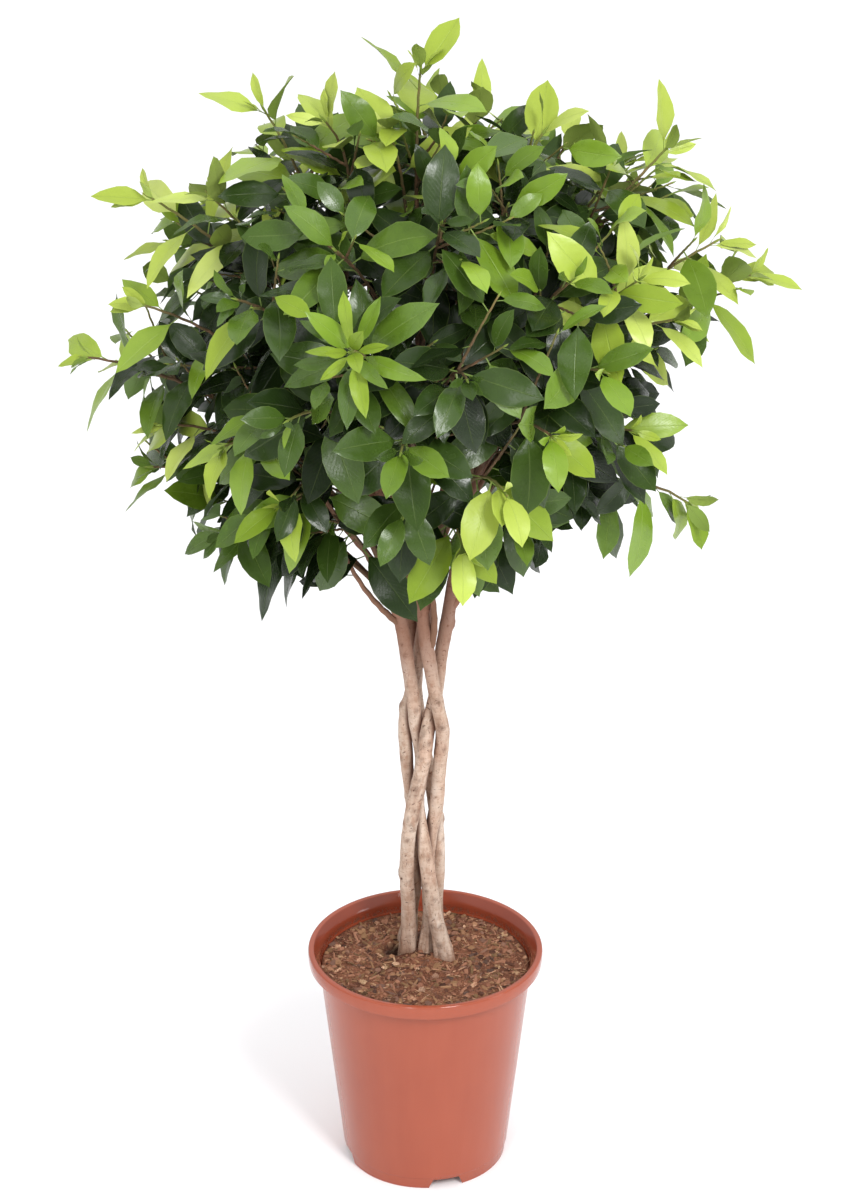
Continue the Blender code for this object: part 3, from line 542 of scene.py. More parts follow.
for stem, line in STEM_LINES.items():
    STEM_LINES[stem] = [tuple(value / 10000 for value in station) for station in line]


# %% Ease the stems apart
def ease(t, low, slope_low, high, slope_high):
    """A cubic from one value to another with a slope at each end."""
    share = 3 * t**2 - 2 * t**3
    return (
        (2 * t**3 - 3 * t**2 + 1) * low + (t**3 - 2 * t**2 + t) * slope_low
        + share * high + (t**3 - t**2) * slope_high
    )


def between(stations, height):
    """A smooth centre line through listed stations (height, x, y), read at one height."""
    last = len(stations) - 1
    i = 0
    while i < last - 1 and stations[i + 1][0] < height:
        i += 1
    before, low = stations[max(i - 1, 0)], stations[i]
    high, after = stations[i + 1], stations[min(i + 2, last)]
    span = high[0] - low[0]
    t = min(max((height - low[0]) / span, 0.0), 1.0)
    found = []
    for axis in (1, 2):
        slope_low = (high[axis] - before[axis]) / (high[0] - before[0]) * span
        slope_high = (after[axis] - low[axis]) / (after[0] - low[0]) * span
        found.append(ease(t, low[axis], slope_low, high[axis], slope_high))
    return Vector(found)


def stem_radius(stem, height):
    body = STEM_RADII[stem]
    foot = (height - SOIL_EDGE_HEIGHT) / STEM_FLARE_HEIGHT
    if foot < 1:
        return body + (STEM_FOOT_RADIUS - body) * (1 - max(foot, 0.0)) ** 2
    if height <= STEM_FORK_HEIGHT:
        share = (height - SOIL_EDGE_HEIGHT) / (STEM_FORK_HEIGHT - SOIL_EDGE_HEIGHT)
        return body + (STEM_FORK_RADIUS - body) * share
    share = (height - STEM_FORK_HEIGHT) / (STEM_TOP - STEM_FORK_HEIGHT)
    return STEM_FORK_RADIUS + (STEM_TOP_RADIUS - STEM_FORK_RADIUS) * share


def push_apart(low, high, radii):
    """Eases two neighbouring levels until each pair of stems clears halfway between them."""
    names = list(low)
    for i, a in enumerate(names):
        for b in names[i + 1 :]:
            apart = (low[b] + high[b] - low[a] - high[a]) / 2
            wanted = (radii[a] + radii[b]) * STEM_ROOM
            if apart.length < wanted:
                shift = apart.normalized() * (wanted - apart.length) * 0.5
                for level in (low, high):
                    level[a] -= shift
                    level[b] += shift


def braid_heights():
    """Heights of the stems' rings: even steps to the fork and longer ones above it."""
    low = round((STEM_FORK_HEIGHT - STEM_COLLAR) / STEM_STEP)
    high = round((STEM_TOP - STEM_FORK_HEIGHT) / STEM_CROWN_STEP)
    clear = [STEM_COLLAR + (STEM_FORK_HEIGHT - STEM_COLLAR) * i / low for i in range(low)]
    return clear + [STEM_FORK_HEIGHT + (STEM_TOP - STEM_FORK_HEIGHT) * i / high for i in range(high + 1)]


def braid():
    """Centre line of every stem: the listed lines, eased apart where they would touch."""
    heights = braid_heights()
    wanted = [{s: between(line, z) for s, line in STEM_LINES.items()} for z in heights]
    levels = [{s: p.copy() for s, p in level.items()} for level in wanted]
    radii = [{s: stem_radius(s, z) for s in STEM_LINES} for z in heights]
    radii[0] = dict.fromkeys(STEM_LINES, STEM_FOOT_RADIUS)
    for sweep in range(BRAID_SWEEPS):
        for i, level in enumerate(levels):
            if sweep < BRAID_SWEEPS - BRAID_LAST_SWEEPS:
                for s in STEM_LINES:
                    level[s] += (wanted[i][s] - level[s]) * BRAID_PULL
                    if 0 < i < len(levels) - 1:
                        level[s] += ((levels[i - 1][s] + levels[i + 1][s]) / 2 - level[s]) * BRAID_EASE
            push_apart(level, level, radii[i])
            push_apart(level, levels[min(i + 1, len(levels) - 1)], radii[i])
    lines = {s: [Vector((*level[s], z)) for level, z in zip(levels, heights)] for s in STEM_LINES}
    for line in lines.values():
        line.insert(0, Vector((line[0].x, line[0].y, STEM_BOTTOM)))
    return lines


def point_on(line, height):
    for low, high in zip(line, line[1:]):
        if low.z <= height <= high.z:
            return low.lerp(high, (height - low.z) / (high.z - low.z))
    return line[-1].copy()


stem_lines = braid()
print(len(stem_lines), "stems of", len(stem_lines["stem_1"]), "points each")

# %% [markdown]
# ## The potting mix
# Nursery mix for such a tree is shredded bark and coir: dark crumbs, red-brown fibres and a few pale wood
# chips. One surface carries the heap and its lumps, and the loose bits on top are scattered over it. Points
# are spread over the surface by Geometry Nodes, a chip is put on each, and the tree ends in real mesh.

# %% Shape of the fill
MIX_SIDES = 120
MIX_RINGS = 46
MIX_EDGE_GAP = 0.0002
CRUMB_SCALE = 70
CRUMB_HEIGHT = 0.0019
CALM_RIM = 0.008
MOUND = Vector((0.002, -0.004))
MOUND_WIDTH = 0.036
MOUND_HEIGHT = 0.0032
HOLLOW = Vector((-0.0300, 0.0210))
HOLLOW_WIDTH = 0.0090
HOLLOW_DEPTH = 0.0095
MIX_WALL = inner_wall_radius(SOIL_EDGE_HEIGHT)


def soil_relief(x, y):
    """Height of the mix over its edge: a low heap with lumps."""
    away = math.hypot(x, y) / MIX_WALL
    lumps = math.sin(71 * x + 2.1) * math.sin(83 * y + 0.4) + 0.6 * math.sin(163 * x - 97 * y)
    return SOIL_HEAP * (1 - away**2) + SOIL_LUMP * lumps * (1 - away**6)


def bell(away, width):
    """1 at no distance, falling smoothly to 0 over about twice the width."""
    return math.exp(-((away / width) ** 2))


def mix_height(x, y):
    """The heap and lumps of the solid, with crumbs, a low mound before the stems and a hollow beside them."""
    own = noise.fractal(Vector((x, y, 0.3)) * CRUMB_SCALE, 0.6, 2.1, 4) * CRUMB_HEIGHT
    mound = bell((Vector((x, y)) - MOUND).length, MOUND_WIDTH) * MOUND_HEIGHT
    mound -= bell((Vector((x, y)) - HOLLOW).length, HOLLOW_WIDTH) * HOLLOW_DEPTH
    rim = min(1.0, (MIX_WALL - math.hypot(x, y)) / CALM_RIM)
    return SOIL_EDGE_HEIGHT + soil_relief(x, y) + (own + mound) * max(rim, 0.0)


mix_edge = MIX_WALL - MIX_EDGE_GAP
floor_edge = inner_wall_radius(POT_FLOOR_TOP) - MIX_EDGE_GAP - 0.001
mix_profile = [(0.0, POT_FLOOR_TOP + GAP), (floor_edge, POT_FLOOR_TOP + GAP)]
mix_profile += [(mix_edge * (1 - i / MIX_RINGS), SOIL_EDGE_HEIGHT) for i in range(MIX_RINGS)]
mix_points, mix_faces = turned(mix_profile + [(0.0, SOIL_EDGE_HEIGHT)], MIX_SIDES)
for point in mix_points:
    if point.z > SOIL_EDGE_HEIGHT - GAP:
        point.z = mix_height(point.x, point.y)
print("the fill has", len(mix_faces), "faces")

# %% [markdown]
# The finish of the fill is mostly shade: fine noise picks between near-black humus and red-brown fibre, and
# a strong bump gives crumbs smaller than the mesh can. The chips take their colour from a random number
# that each carries, from dark bark through red-brown to pale wood, so neighbours differ. Both are painted
# darker in the hollow beside the stems, as painted shade.


# %% Bark mix
HOLLOW_SHADE_SHARE = 0.85


def hollow_shade(tree, place, colour):
    """Paints shade into a colour: darker in the hollow beside the stems."""
    feeds = {0: place, 1: (HOLLOW.x, HOLLOW.y, SOIL_EDGE_HEIGHT)}
    away = out(put(tree, "ShaderNodeVectorMath", feeds, operation="DISTANCE"), "Value")
    # painted shade: near-black in the hollow, fading out over about twice its width
    painted_hollow_shade = away.fade(HOLLOW_WIDTH * 0.7, HOLLOW_WIDTH * 2.2, HOLLOW_SHADE_SHARE, 0.0)
    return colour.mixed(paint(34, 20, 16), painted_hollow_shade)


def bark_mix():
    finish, tree, place = new_finish("bark_mix")
    crumbs = place.grain(420.0, 4.0, 0.65)
    shade = crumbs * 0.6 + place.grain(38.0) * 0.4
    colour = shade.ramp((0.30, 62, 38, 29), (0.45, 106, 66, 49), (0.58, 140, 92, 68), (0.72, 168, 120, 92))
    lumps = out(put(tree, "ShaderNodeTexVoronoi", {0: place, "Scale": 300.0}), "Distance")
    feed(tree, Base_Color=hollow_shade(tree, place, colour), Roughness=0.95, Specular_IOR_Level=0.2)
    feed(tree, Normal=(crumbs * 1.4 - lumps).relief(0.0012))
    return finish


# %% Loose bark
def loose_bark():
    finish, tree, place = new_finish("loose_bark")
    fibres, own = place.grain(700.0, 3.0, 0.6), attribute(tree, "shade")
    colour = (own + (fibres - 0.5) * 0.5).ramp(
        (0.0, 64, 40, 31), (0.25, 108, 70, 54), (0.55, 143, 97, 75), (0.88, 168, 120, 94),
        (0.97, 188, 144, 114), (1.0, 212, 176, 144),
    )
    kind = (own * 37.0).math("FRACT")
    colour = colour.mixed(paint(146, 118, 80), kind.fade(0.55, 0.75, 0.0, 0.45))
    colour = colour.mixed(paint(112, 92, 82), kind.fade(0.22, 0.12, 0.0, 0.45))
    feed(tree, Base_Color=hollow_shade(tree, place, colour), Roughness=0.9, Specular_IOR_Level=0.25)
    feed(tree, Normal=fibres.relief(0.0004))
    return finish


# %% Make the fill
mix = mesh_piece("mix_fill", mix_points, mix_faces, bark_mix())
hand_over(mix, "potting_mix", "soil")

# %% [markdown]
# Eight small shapes are enough for the loose bits, because each copy is turned and sized at random: flat
# flakes, long splinters and strips, a lump and a bent fibre. Each is a closed shape of 7 to 14 faces.

# %% Shapes of the loose bits
CHIP_OUTLINES = {
    "chip_flake": (
        [(-0.5, -0.16), (-0.1, -0.30), (0.42, -0.24), (0.5, 0.06), (0.1, 0.26), (-0.4, 0.2)], 0.10, 0.12),
    "chip_square": ([(-0.36, -0.26), (0.3, -0.30), (0.38, 0.05), (0.26, 0.28), (-0.32, 0.24)], 0.15, -0.10),
    "chip_splinter": ([(-0.7, -0.05), (0.1, -0.09), (0.72, -0.01), (0.2, 0.08), (-0.6, 0.06)], 0.07, 0.16),
    "chip_sliver": (
        [(-0.7, -0.03), (0.0, -0.07), (0.68, -0.04), (0.6, 0.03), (-0.1, 0.06), (-0.6, 0.05)], 0.05, -0.20),
    "chip_strip": (
        [(-0.65, -0.09), (-0.1, -0.12), (0.6, -0.08), (0.65, 0.05), (0.0, 0.10), (-0.6, 0.08)], 0.06, 0.22),
    "chip_bark": (
        [(-0.6, -0.14), (0.1, -0.19), (0.58, -0.11), (0.6, 0.08), (-0.1, 0.16), (-0.55, 0.12)], 0.12, 0.10),
    "chip_lump": ([(-0.30, -0.24), (0.20, -0.28), (0.34, 0.10), (-0.05, 0.30), (-0.32, 0.14)], 0.38, 0.0),
}
CHIP_SHARP_DEG = 30
FIBRE_LINE = ((-0.8, 0, 0), (-0.4, 0.16, 0.06), (0.05, 0.10, 0.12), (0.45, -0.10, 0.05), (0.85, 0.05, -0.02))
FIBRE_RADII = (0.02, 0.035, 0.035, 0.03, 0.015)


def chip(outline, thick, bend):
    """A flat bit with that outline, smaller on its upper side and bent along its length."""
    points = []
    for z, size in ((-thick / 2, 1.0), (thick / 2, 0.82)):
        points += [Vector((x * size, y * size, z + bend * (x * x - 0.1))) for x, y in outline]
    count = len(outline)
    faces = [tuple(reversed(range(count))), tuple(range(count, 2 * count))]
    faces += [(k, (k + 1) % count, (k + 1) % count + count, k + count) for k in range(count)]
    return points, faces


# %% Put the shapes in a collection of their own
def shape_collection(name, shapes):
    """Hidden master shapes that Geometry Nodes copies from."""
    made = bpy.data.collections.new(name)
    bpy.context.scene.collection.children.link(made)
    for shape in shapes:
        bpy.context.scene.collection.objects.unlink(shape)
        made.objects.link(shape)
        shape.hide_render = True
    return made


def drop_collection(collection):
    for shape in list(collection.objects):
        bpy.data.objects.remove(shape, do_unlink=True)
    bpy.data.collections.remove(collection)


bits = [mesh_piece(name, *chip(*parts), sharp_deg=CHIP_SHARP_DEG) for name, parts in CHIP_OUTLINES.items()]
bits.append(mesh_piece("chip_fibre", *tube([Vector(p) for p in FIBRE_LINE], FIBRE_RADII, 3)))
chips = shape_collection("chips", bits)
print(len(bits), "shapes of loose bark")

# %% [markdown]
# The scatter tree takes the fill, spreads points on the part of it that is marked open, gives every point a
# random shade, turn and size, and copies a random chip there. The seed is an input, so each run gives the
# same mix. The end of the tree, from copies to real mesh, also serves the leaves later.


# %% Scatter tree
def tree_with(name, inputs):
    """A Geometry Nodes tree with named inputs, those inputs as wires, and its last node."""
    tree = bpy.data.node_groups.new(name, "GeometryNodeTree")
    for title, kind in ({"Geometry": "Geometry"} | inputs).items():
        tree.interface.new_socket(title, in_out="INPUT", socket_type="NodeSocket" + kind)
    tree.interface.new_socket("Geometry", in_out="OUTPUT", socket_type="NodeSocketGeometry")
    start, end = tree.nodes.new("NodeGroupInput"), tree.nodes.new("NodeGroupOutput")
    return tree, {title: out(start, title) for title in ["Geometry", *inputs]}, end


def run_tree(piece, tree, **values):
    """Runs a tree on a piece with those inputs and keeps the result as plain mesh."""
    step = piece.modifiers.new(tree.name, "NODES")
    step.node_group = tree
    for socket in tree.interface.items_tree:
        if socket.in_out == "INPUT" and socket.name in values:
            step[socket.identifier] = values[socket.name]
    baked(piece)


def random_value(seed, kind, low, high, extra):
    """A random number or vector for each element, from a seed and an extra that keeps draws apart."""
    feeds = {"Min": low, "Max": high, "Seed": seed + float(extra)}
    return out(put(seed.tree, "FunctionNodeRandomValue", feeds, data_type=kind))


def stored(tree, name, kind):
    """What the points carry under a name."""
    return out(put(tree, "GeometryNodeInputNamedAttribute", {"Name": name}, data_type=kind), "Attribute")


def end_in_copies(tree, given, end, points, which, turn, size):
    """Copies one of the shapes to each point, turned and sized, as real mesh with the finish on it."""
    feeds = {"Collection": given["Shapes"], "Separate Children": True, "Reset Children": True}
    feeds = {"Instance": out(put(tree, "GeometryNodeCollectionInfo", feeds)), "Pick Instance": True}
    feeds |= {"Rotation": out(put(tree, "FunctionNodeEulerToRotation", {0: turn})), "Scale": size}
    feeds |= {"Points": points, "Instance Index": which}
    copies = out(put(tree, "GeometryNodeInstanceOnPoints", feeds))
    real = out(put(tree, "GeometryNodeRealizeInstances", {"Geometry": copies}))
    dressed = out(put(tree, "GeometryNodeSetMaterial", {"Geometry": real, "Material": given["Finish"]}))
    connect(tree, end.inputs["Geometry"], dressed)
    return tree


def scatter_tree():
    inputs = {"Density": "Float", "Seed": "Int", "Smallest": "Float", "Largest": "Float"}
    inputs |= {"Shapes": "Collection", "Finish": "Material"}
    tree, given, end = tree_with("scatter_bits", inputs)
    seed = given["Seed"]
    feeds = {"Mesh": given["Geometry"], "Selection": stored(tree, "open", "FLOAT")}
    feeds |= {"Density": given["Density"], "Seed": seed}
    spread = out(put(tree, "GeometryNodeDistributePointsOnFaces", feeds), "Points")
    feeds = {"Geometry": spread, "Name": "shade", "Value": random_value(seed, "FLOAT", 0.0, 1.0, 1)}
    marked = out(put(tree, "GeometryNodeStoreNamedAttribute", feeds, data_type="FLOAT", domain="POINT"))
    turn = random_value(seed, "FLOAT_VECTOR", (-0.5, -0.5, 0.0), (0.5, 0.5, 6.283), 2)
    small = random_value(seed, "FLOAT", 0.0, 1.0, 3).math("POWER", 3.0)
    feeds = {"Value": small, "To Min": given["Smallest"], "To Max": given["Largest"]}
    size = out(put(tree, "ShaderNodeMapRange", feeds))
    which = random_value(seed, "INT", 0, len(bits) - 1, 4)
    return end_in_copies(tree, given, end, marked, which, turn, size)


# %% Scatter the loose bark
CHIP_DENSITY = 105000.0
CHIP_SMALLEST = 0.0024
CHIP_LARGEST = 0.0130
CHIP_REACH = 0.1030
CHIP_SEED = 5
chips_on_mix = mesh_piece("mix_chips", mix_points, mix_faces)


def is_open(face):
    """1 on the upper faces of the fill that lie clear of the wall and the stems."""
    middle = sum((mix_points[i] for i in face), Vector()) / len(face)
    if middle.z < SOIL_EDGE_HEIGHT - 0.004 or math.hypot(middle.x, middle.y) > CHIP_REACH:
        return 0.0
    clear = all((line[1].to_2d() - middle.to_2d()).length > STEM_FOOT_RADIUS for line in stem_lines.values())
    return 1.0 if clear else 0.0


give(chips_on_mix, "open", [is_open(face) for face in mix_faces], domain="FACE")
sizes = {"Density": CHIP_DENSITY, "Seed": CHIP_SEED, "Smallest": CHIP_SMALLEST, "Largest": CHIP_LARGEST}
run_tree(chips_on_mix, scatter_tree(), Shapes=chips, Finish=loose_bark(), **sizes)
drop_collection(chips)
hand_over(chips_on_mix, "potting_mix")

# %% [markdown]
# ## The stems
# Each stem is a tube along its line, but bark is never a plain tube. Every point is moved in or out by slow
# noise for lumps, by rings where leaves once sat, by knots where side shoots were cut, and by a flare where
# the stem meets the mix. Where a knot or ring lies, the piece stores a mark that darkens its finish there.
# The strand that crosses in front halfway up is freckled.

# %% Marks on the bark
STEM_ROUNDS = 26
STEM_RING = 0.0030
STEM_FULLNESS = 1.01
STEM_VISIBLE_FROM = 0.205
CREASE_REACH = 0.0072
ROOT_SPREAD = 0.16
ROOT_MIDDLE = Vector((0.002, 0.022))
ROOT_RISE = 0.020
RING_FIRST = 0.235
RING_STEPS = (0.008, 0.024)
RING_STRENGTHS = (0.3, 1.0)
RING_TILT = 0.0025
KNOT_REACH = 0.012
KNOT_BUMP = (0.0016, 0.0040)
KNOT_PIT = (0.0010, 0.0014)
RING_BUMP = (0.00014, 0.0014)
BARK_LUMPS = (0.00085, 0.00030)
KNOTS = {
    "stem_1": [
        (299, 30, 0.7), (316, 20, 0.5), (324, -88, 1.3), (370, -8, 1.1), (382, 18, 0.8), (394, 40, 0.9),
        (404, 10, 0.8), (429, -12, 1.2), (432, -75, 0.6), (438, 0, 0.6), (462, -14, 0.6), (464, -45, 0.6),
        (479, 22, 1.0), (488, -35, 0.7), (601, 80, 1.5), (585, 40, 0.7),
    ],
    "stem_2": [
        (231, -38, 0.9), (243, -12, 1.0), (265, -30, 0.8), (265, 22, 0.8), (299, 18, 0.8), (309, -28, 1.1),
        (316, -30, 1.0), (345, 20, 0.7), (513, 20, 0.8), (540, -30, 0.6), (576, -5, 1.5), (587, -20, 0.7),
    ],
    "stem_3": [
        (464, -60, 0.6), (470, 20, 0.6), (500, 0, 1.5), (528, 12, 1.3), (560, -30, 0.6), (600, 30, 0.9),
    ],
    "stem_4": [
        (335, 18, 0.7), (350, 50, 0.6), (374, 80, 1.4), (420, 120, 1.1), (540, -150, 1.0), (600, 170, 1.0),
    ],
    "stem_5": [
        (285, -80, 1.0), (400, -120, 1.0), (450, -40, 0.6), (507, -88, 1.7), (590, -170, 1.1),
    ],
}
for stem, knots in KNOTS.items():
    KNOTS[stem] = [(height / 1000, side, size) for height, side, size in knots]
FRECKLES = 30
FRECKLE_RANGES = ((0.385, 0.500), (-75, 75), (0.2, 0.7))
FRECKLE_SEED = 5
freckle_draw = random.Random(FRECKLE_SEED)
KNOTS["stem_1"] += [[freckle_draw.uniform(*ends) for ends in FRECKLE_RANGES] for _ in range(FRECKLES)]


def rings_up(draw):
    """Heights of the leaf scars that ring a stem, each with its strength and tilt."""
    found, height = [], RING_FIRST
    while height < STEM_TOP:
        height += draw.uniform(*RING_STEPS)
        found.append((height, draw.uniform(*RING_STRENGTHS), draw.uniform(-RING_TILT, RING_TILT)))
    return found


# %% [markdown]
# A stem's line has few points, so it is drawn again through them with short steps. The radius is the
# solid's own, a touch fuller, because the solid has seven flat sides inside that radius.


# %% Shape of one stem
def through(line, step):
    """A smooth line through every point of another, in steps of about that length."""
    made, last = [], len(line) - 1
    for i in range(last):
        before, low, high, after = line[max(i - 1, 0)], line[i], line[i + 1], line[min(i + 2, last)]
        count = max(1, round((high - low).length / step))
        slope_low, slope_high = (high - before) / 2 if i else high - low, (after - low) / 2
        made += [ease(k / count, low, slope_low, high, slope_high) for k in range(count)]
    made.append(line[-1].copy())
    return made


def bark_offset(stem, point, out_way, knots, rings):
    """How far one point of a stem's surface moves outwards, and how dark its mark is."""
    slow = noise.noise(Vector((point.x * 70, point.y * 70, point.z * 34)) + Vector((3.1, 0.7, 1.9)))
    fine = noise.noise(Vector((point.x * 230, point.y * 230, point.z * 130)))
    move = slow * BARK_LUMPS[0] + fine * BARK_LUMPS[1]
    mark = 0.0
    angle = math.degrees(math.atan2(out_way.x, -out_way.y))
    for height, strength, tilt in rings:
        gap = point.z - height - tilt * math.sin(math.radians(angle))
        if abs(gap) < 0.004:
            move += RING_BUMP[0] * strength * bell(gap, RING_BUMP[1])
            mark = max(mark, 0.16 * strength * bell(gap + 0.0012, 0.0009))
    for height, side, size in knots:
        turn = (angle - side + 180) % 360 - 180
        away = math.hypot((point.z - height) * 0.8, math.radians(turn) * stem_radius(stem, height))
        if away < KNOT_REACH:
            bump, pit = [high * bell(away, wide) for high, wide in (KNOT_BUMP, KNOT_PIT)]
            move += size * (bump - pit)
            mark = max(mark, min(1.0, 0.5 + 0.5 * size) * bell(away, 0.0012 + 0.0010 * size))
    return move, mark


def crease_shade(stem, point):
    """Painted shade: 1 where another stem almost touches this point of the bark, 0 from a few millimetres on.
    """
    nearest = CREASE_REACH
    for other, line in stem_lines.items():
        if other != stem and point.z < STEM_TOP:
            centre = point_on(line, max(point.z, STEM_COLLAR))
            nearest = min(nearest, (point - centre).to_2d().length - stem_radius(other, point.z))
    return 1 - max(nearest, 0.0) / CREASE_REACH


def root_flare(stem, point, out_way):
    """Folds of the stem's foot where roots leave it, strongest at the mix and away from the other stems."""
    height = point.z - SOIL_EDGE_HEIGHT
    rise = height / ROOT_RISE
    if rise > 3:
        return 0.0
    outward = max(0.0, out_way.to_2d().dot((point.to_2d() - ROOT_MIDDLE).normalized()))
    angle = math.atan2(out_way.y, out_way.x)
    folds = 0.5 + 0.5 * math.cos(3 * angle + 1.7 * int(stem[-1]) + 30 * height)
    strength = ROOT_SPREAD * math.exp(-max(rise, -0.4) * 1.2) * (0.25 + 0.75 * outward)
    return strength * folds * stem_radius(stem, point.z)


# %% [markdown]
# ## Limbs and twigs
# In the head each stem sends out limbs, and each limb ends in a leafy twig. Each is one curve with four
# control points from the stem to the tip: the inner part is the limb, the outer 13 cm the twig. The same
# rule and the same seed as in the solids find the same curves, each with a way clear of the other stems.

# %% Sizes of limbs and twigs
LIMB_RADIUS = 0.0036
LIMB_STEM_SHARE = 0.8
TWIG_RADIUS = 0.0021
TWIG_TIP_RADIUS = 0.0013
BUD_LENGTH = 0.011
LIMB_SIDES = 3
TWIG_SIDES = 3
TWIG_LENGTH = 0.130
TWIG_STEPS = 2
LIMB_STEPS = 3
LIMB_LOWEST_START = 0.618
LIMB_HIGHEST_START = 0.93
BRANCH_TRIES = 40
BRANCH_ROOM = 0.0014
UP = Vector((0, 0, 1))
TWIG_LIFT_DEG = 12
TWIG_HANG_DEG = 48
STEM_CHOICE = 0.42
BRANCH_WANDER = (0.004, 0.0035)
BRANCH_DROP = 0.13
BRANCH_SLOPE = 0.30
BRANCH_RISE = (0.30, 0.22)
BRANCH_PULL = 0.34

# %% [markdown]
# Every spray has a name and a row: its tip in millimetres (x, y, z), how many leaves it has, how young its
# twig is from 0 to 1, how it is held, from -1 upright to 1 hanging, and how young its leaves look, dark at
# 0 and palest from 1 on. The back half, which the front hides, is four rings of three.

# %% Where the sprays are
FRONT_SPRAYS = {
    "top_centre": (-3, 0, 1184, 9, 0.8, -1.0, 0.85),
    "top_left": (-157, 5, 1142, 8, 0.8, -0.9, 0.9),
    "top_left_inner": (-92, -20, 1127, 7, 0.5, -0.8, 1.0),
    "top_near_centre": (-40, -50, 1140, 8, 0.8, -0.8, 1.15),
    "top_behind_centre": (52, 50, 1114, 7, 0.4, -0.8, 1.2),
    "top_right_inner": (108, -20, 1116, 8, 0.9, -0.9, 1.15),
    "top_right_back": (180, 55, 1058, 7, 0.7, -0.8, 1.3),
    "top_right": (233, 0, 1106, 8, 0.8, -0.8, 0.95),
    "shoulder_left": (-208, -10, 1060, 8, 0.7, -0.7, 1.35),
    "upper_left": (-256, 10, 1042, 7, 0.8, -0.4, 1.15),
    "side_left": (-262, -30, 950, 7, 0.5, -0.1, 0.75),
    "far_left": (-320, 0, 886, 8, 0.2, 0.1, 0.6),
    "low_side_left": (-246, -50, 838, 7, 0.3, 0.2, 1.25),
    "low_left": (-262, 20, 764, 7, 0.1, 0.3, 0.5),
    "bottom_left": (-196, -35, 718, 7, 0.1, 0.7, 0.3),
    "shoulder_right": (268, -10, 1005, 8, 0.8, -0.4, 1.15),
    "far_right": (306, 10, 966, 8, 0.5, -0.2, 0.85),
    "side_right": (228, -85, 958, 8, 0.7, -0.1, 1.25),
    "right_front_top": (192, -150, 1022, 8, 0.9, -0.6, 1.15),
    "right_inner_top": (130, -175, 1030, 7, 0.5, -0.6, 0.36),
    "side_right_low": (190, -125, 864, 8, 0.4, 0.2, 0.6),
    "right_low_middle": (184, 0, 832, 7, 0.2, 0.4, 0.5),
    "right_bottom": (248, -65, 764, 9, 0.6, 1.0, 0.6),
    "front_right_high": (158, -205, 955, 8, 0.5, 0.1, 0.45),
    "front_right": (112, -235, 905, 7, 0.3, 0.3, 0.58),
    "front_right_low": (72, -225, 845, 8, 0.9, 0.4, 0.78),
    "bottom_right": (84, -135, 780, 7, 0.0, 0.7, 0.3),
    "front_bottom": (34, -175, 768, 7, 0.9, 0.9, 0.66),
    "front_low": (-20, -200, 812, 7, 0.3, 0.6, 0.3),
    "front_middle": (36, -265, 972, 8, 0.4, 0.1, 0.28),
    "front_rosette": (-66, -265, 998, 11, 0.95, -0.2, 0.58),
    "front_centre_low": (-22, -258, 900, 8, 0.8, 0.3, 0.35),
    "front_left_middle": (-122, -228, 918, 8, 0.8, 0.2, 0.38),
    "front_left": (-182, -180, 872, 7, 0.6, 0.3, 0.6),
    "front_left_low": (-135, -165, 806, 7, 0.7, 0.5, 0.66),
    "front_left_bottom": (-100, -120, 766, 7, 0.1, 0.7, 0.24),
    "front_left_top": (-168, -170, 1010, 8, 0.4, -0.3, 0.32),
    "front_top_left": (-85, -185, 1066, 8, 0.5, -0.4, 0.5),
    "front_top_centre": (14, -178, 1086, 8, 0.5, -0.5, 0.22),
    "front_top_right": (88, -125, 1078, 7, 0.5, -0.5, 0.22),
}
BACK_RINGS = ((0.765, 0.215, 3, 0.6), (0.865, 0.275, 3, 0.2), (0.965, 0.275, 3, 0.0), (1.058, 0.185, 3, -0.6))
BACK_ARC_DEG = (18.0, 162.0)
BACK_LEAVES = 7
BACK_LEAF_AGES = {"back_3_1": 0.8, "back_3_3": 0.8, "back_4_1": 0.95, "back_4_2": 0.95, "back_4_3": 0.95}
DRAW_SEED = 10


# %% Curves
def bezier(controls, t):
    a, b, c, d = controls
    s = 1 - t
    return a * s**3 + b * (3 * s * s * t) + c * (3 * s * t * t) + d * t**3


def bezier_heading(controls, t):
    a, b, c, d = controls
    s = 1 - t
    return ((b - a) * s * s + (c - b) * (2 * s * t) + (d - c) * t * t).normalized()


def along_curve(controls, first, last, steps):
    """Points and headings of a Bezier at even parameters."""
    found = [first + (last - first) * i / steps for i in range(steps + 1)]
    return [bezier(controls, t) for t in found], [bezier_heading(controls, t) for t in found]


def arc_lengths(controls, fine=60):
    """Running length of a Bezier at even parameters."""
    lengths, before = [0.0], controls[0]
    for i in range(1, fine + 1):
        point = bezier(controls, i / fine)
        lengths.append(lengths[-1] + (point - before).length)
        before = point
    return lengths


def parameter_at(lengths, wanted):
    for i in range(1, len(lengths)):
        if lengths[i] >= wanted:
            share = (wanted - lengths[i - 1]) / max(lengths[i] - lengths[i - 1], 1e-9)
            return (i - 1 + share) / (len(lengths) - 1)
    return 1.0


def limb_end(controls, past=0.0):
    """Parameter of a branch where its limb ends, or that far past it."""
    lengths = arc_lengths(controls)
    return parameter_at(lengths, lengths[-1] - min(TWIG_LENGTH, 0.6 * lengths[-1]) + past)


def sideways(axis, turn):
    """A direction square to an axis, at that turn round it."""
    side = axis.orthogonal().normalized()
    return side * math.cos(turn) + axis.cross(side) * math.sin(turn)


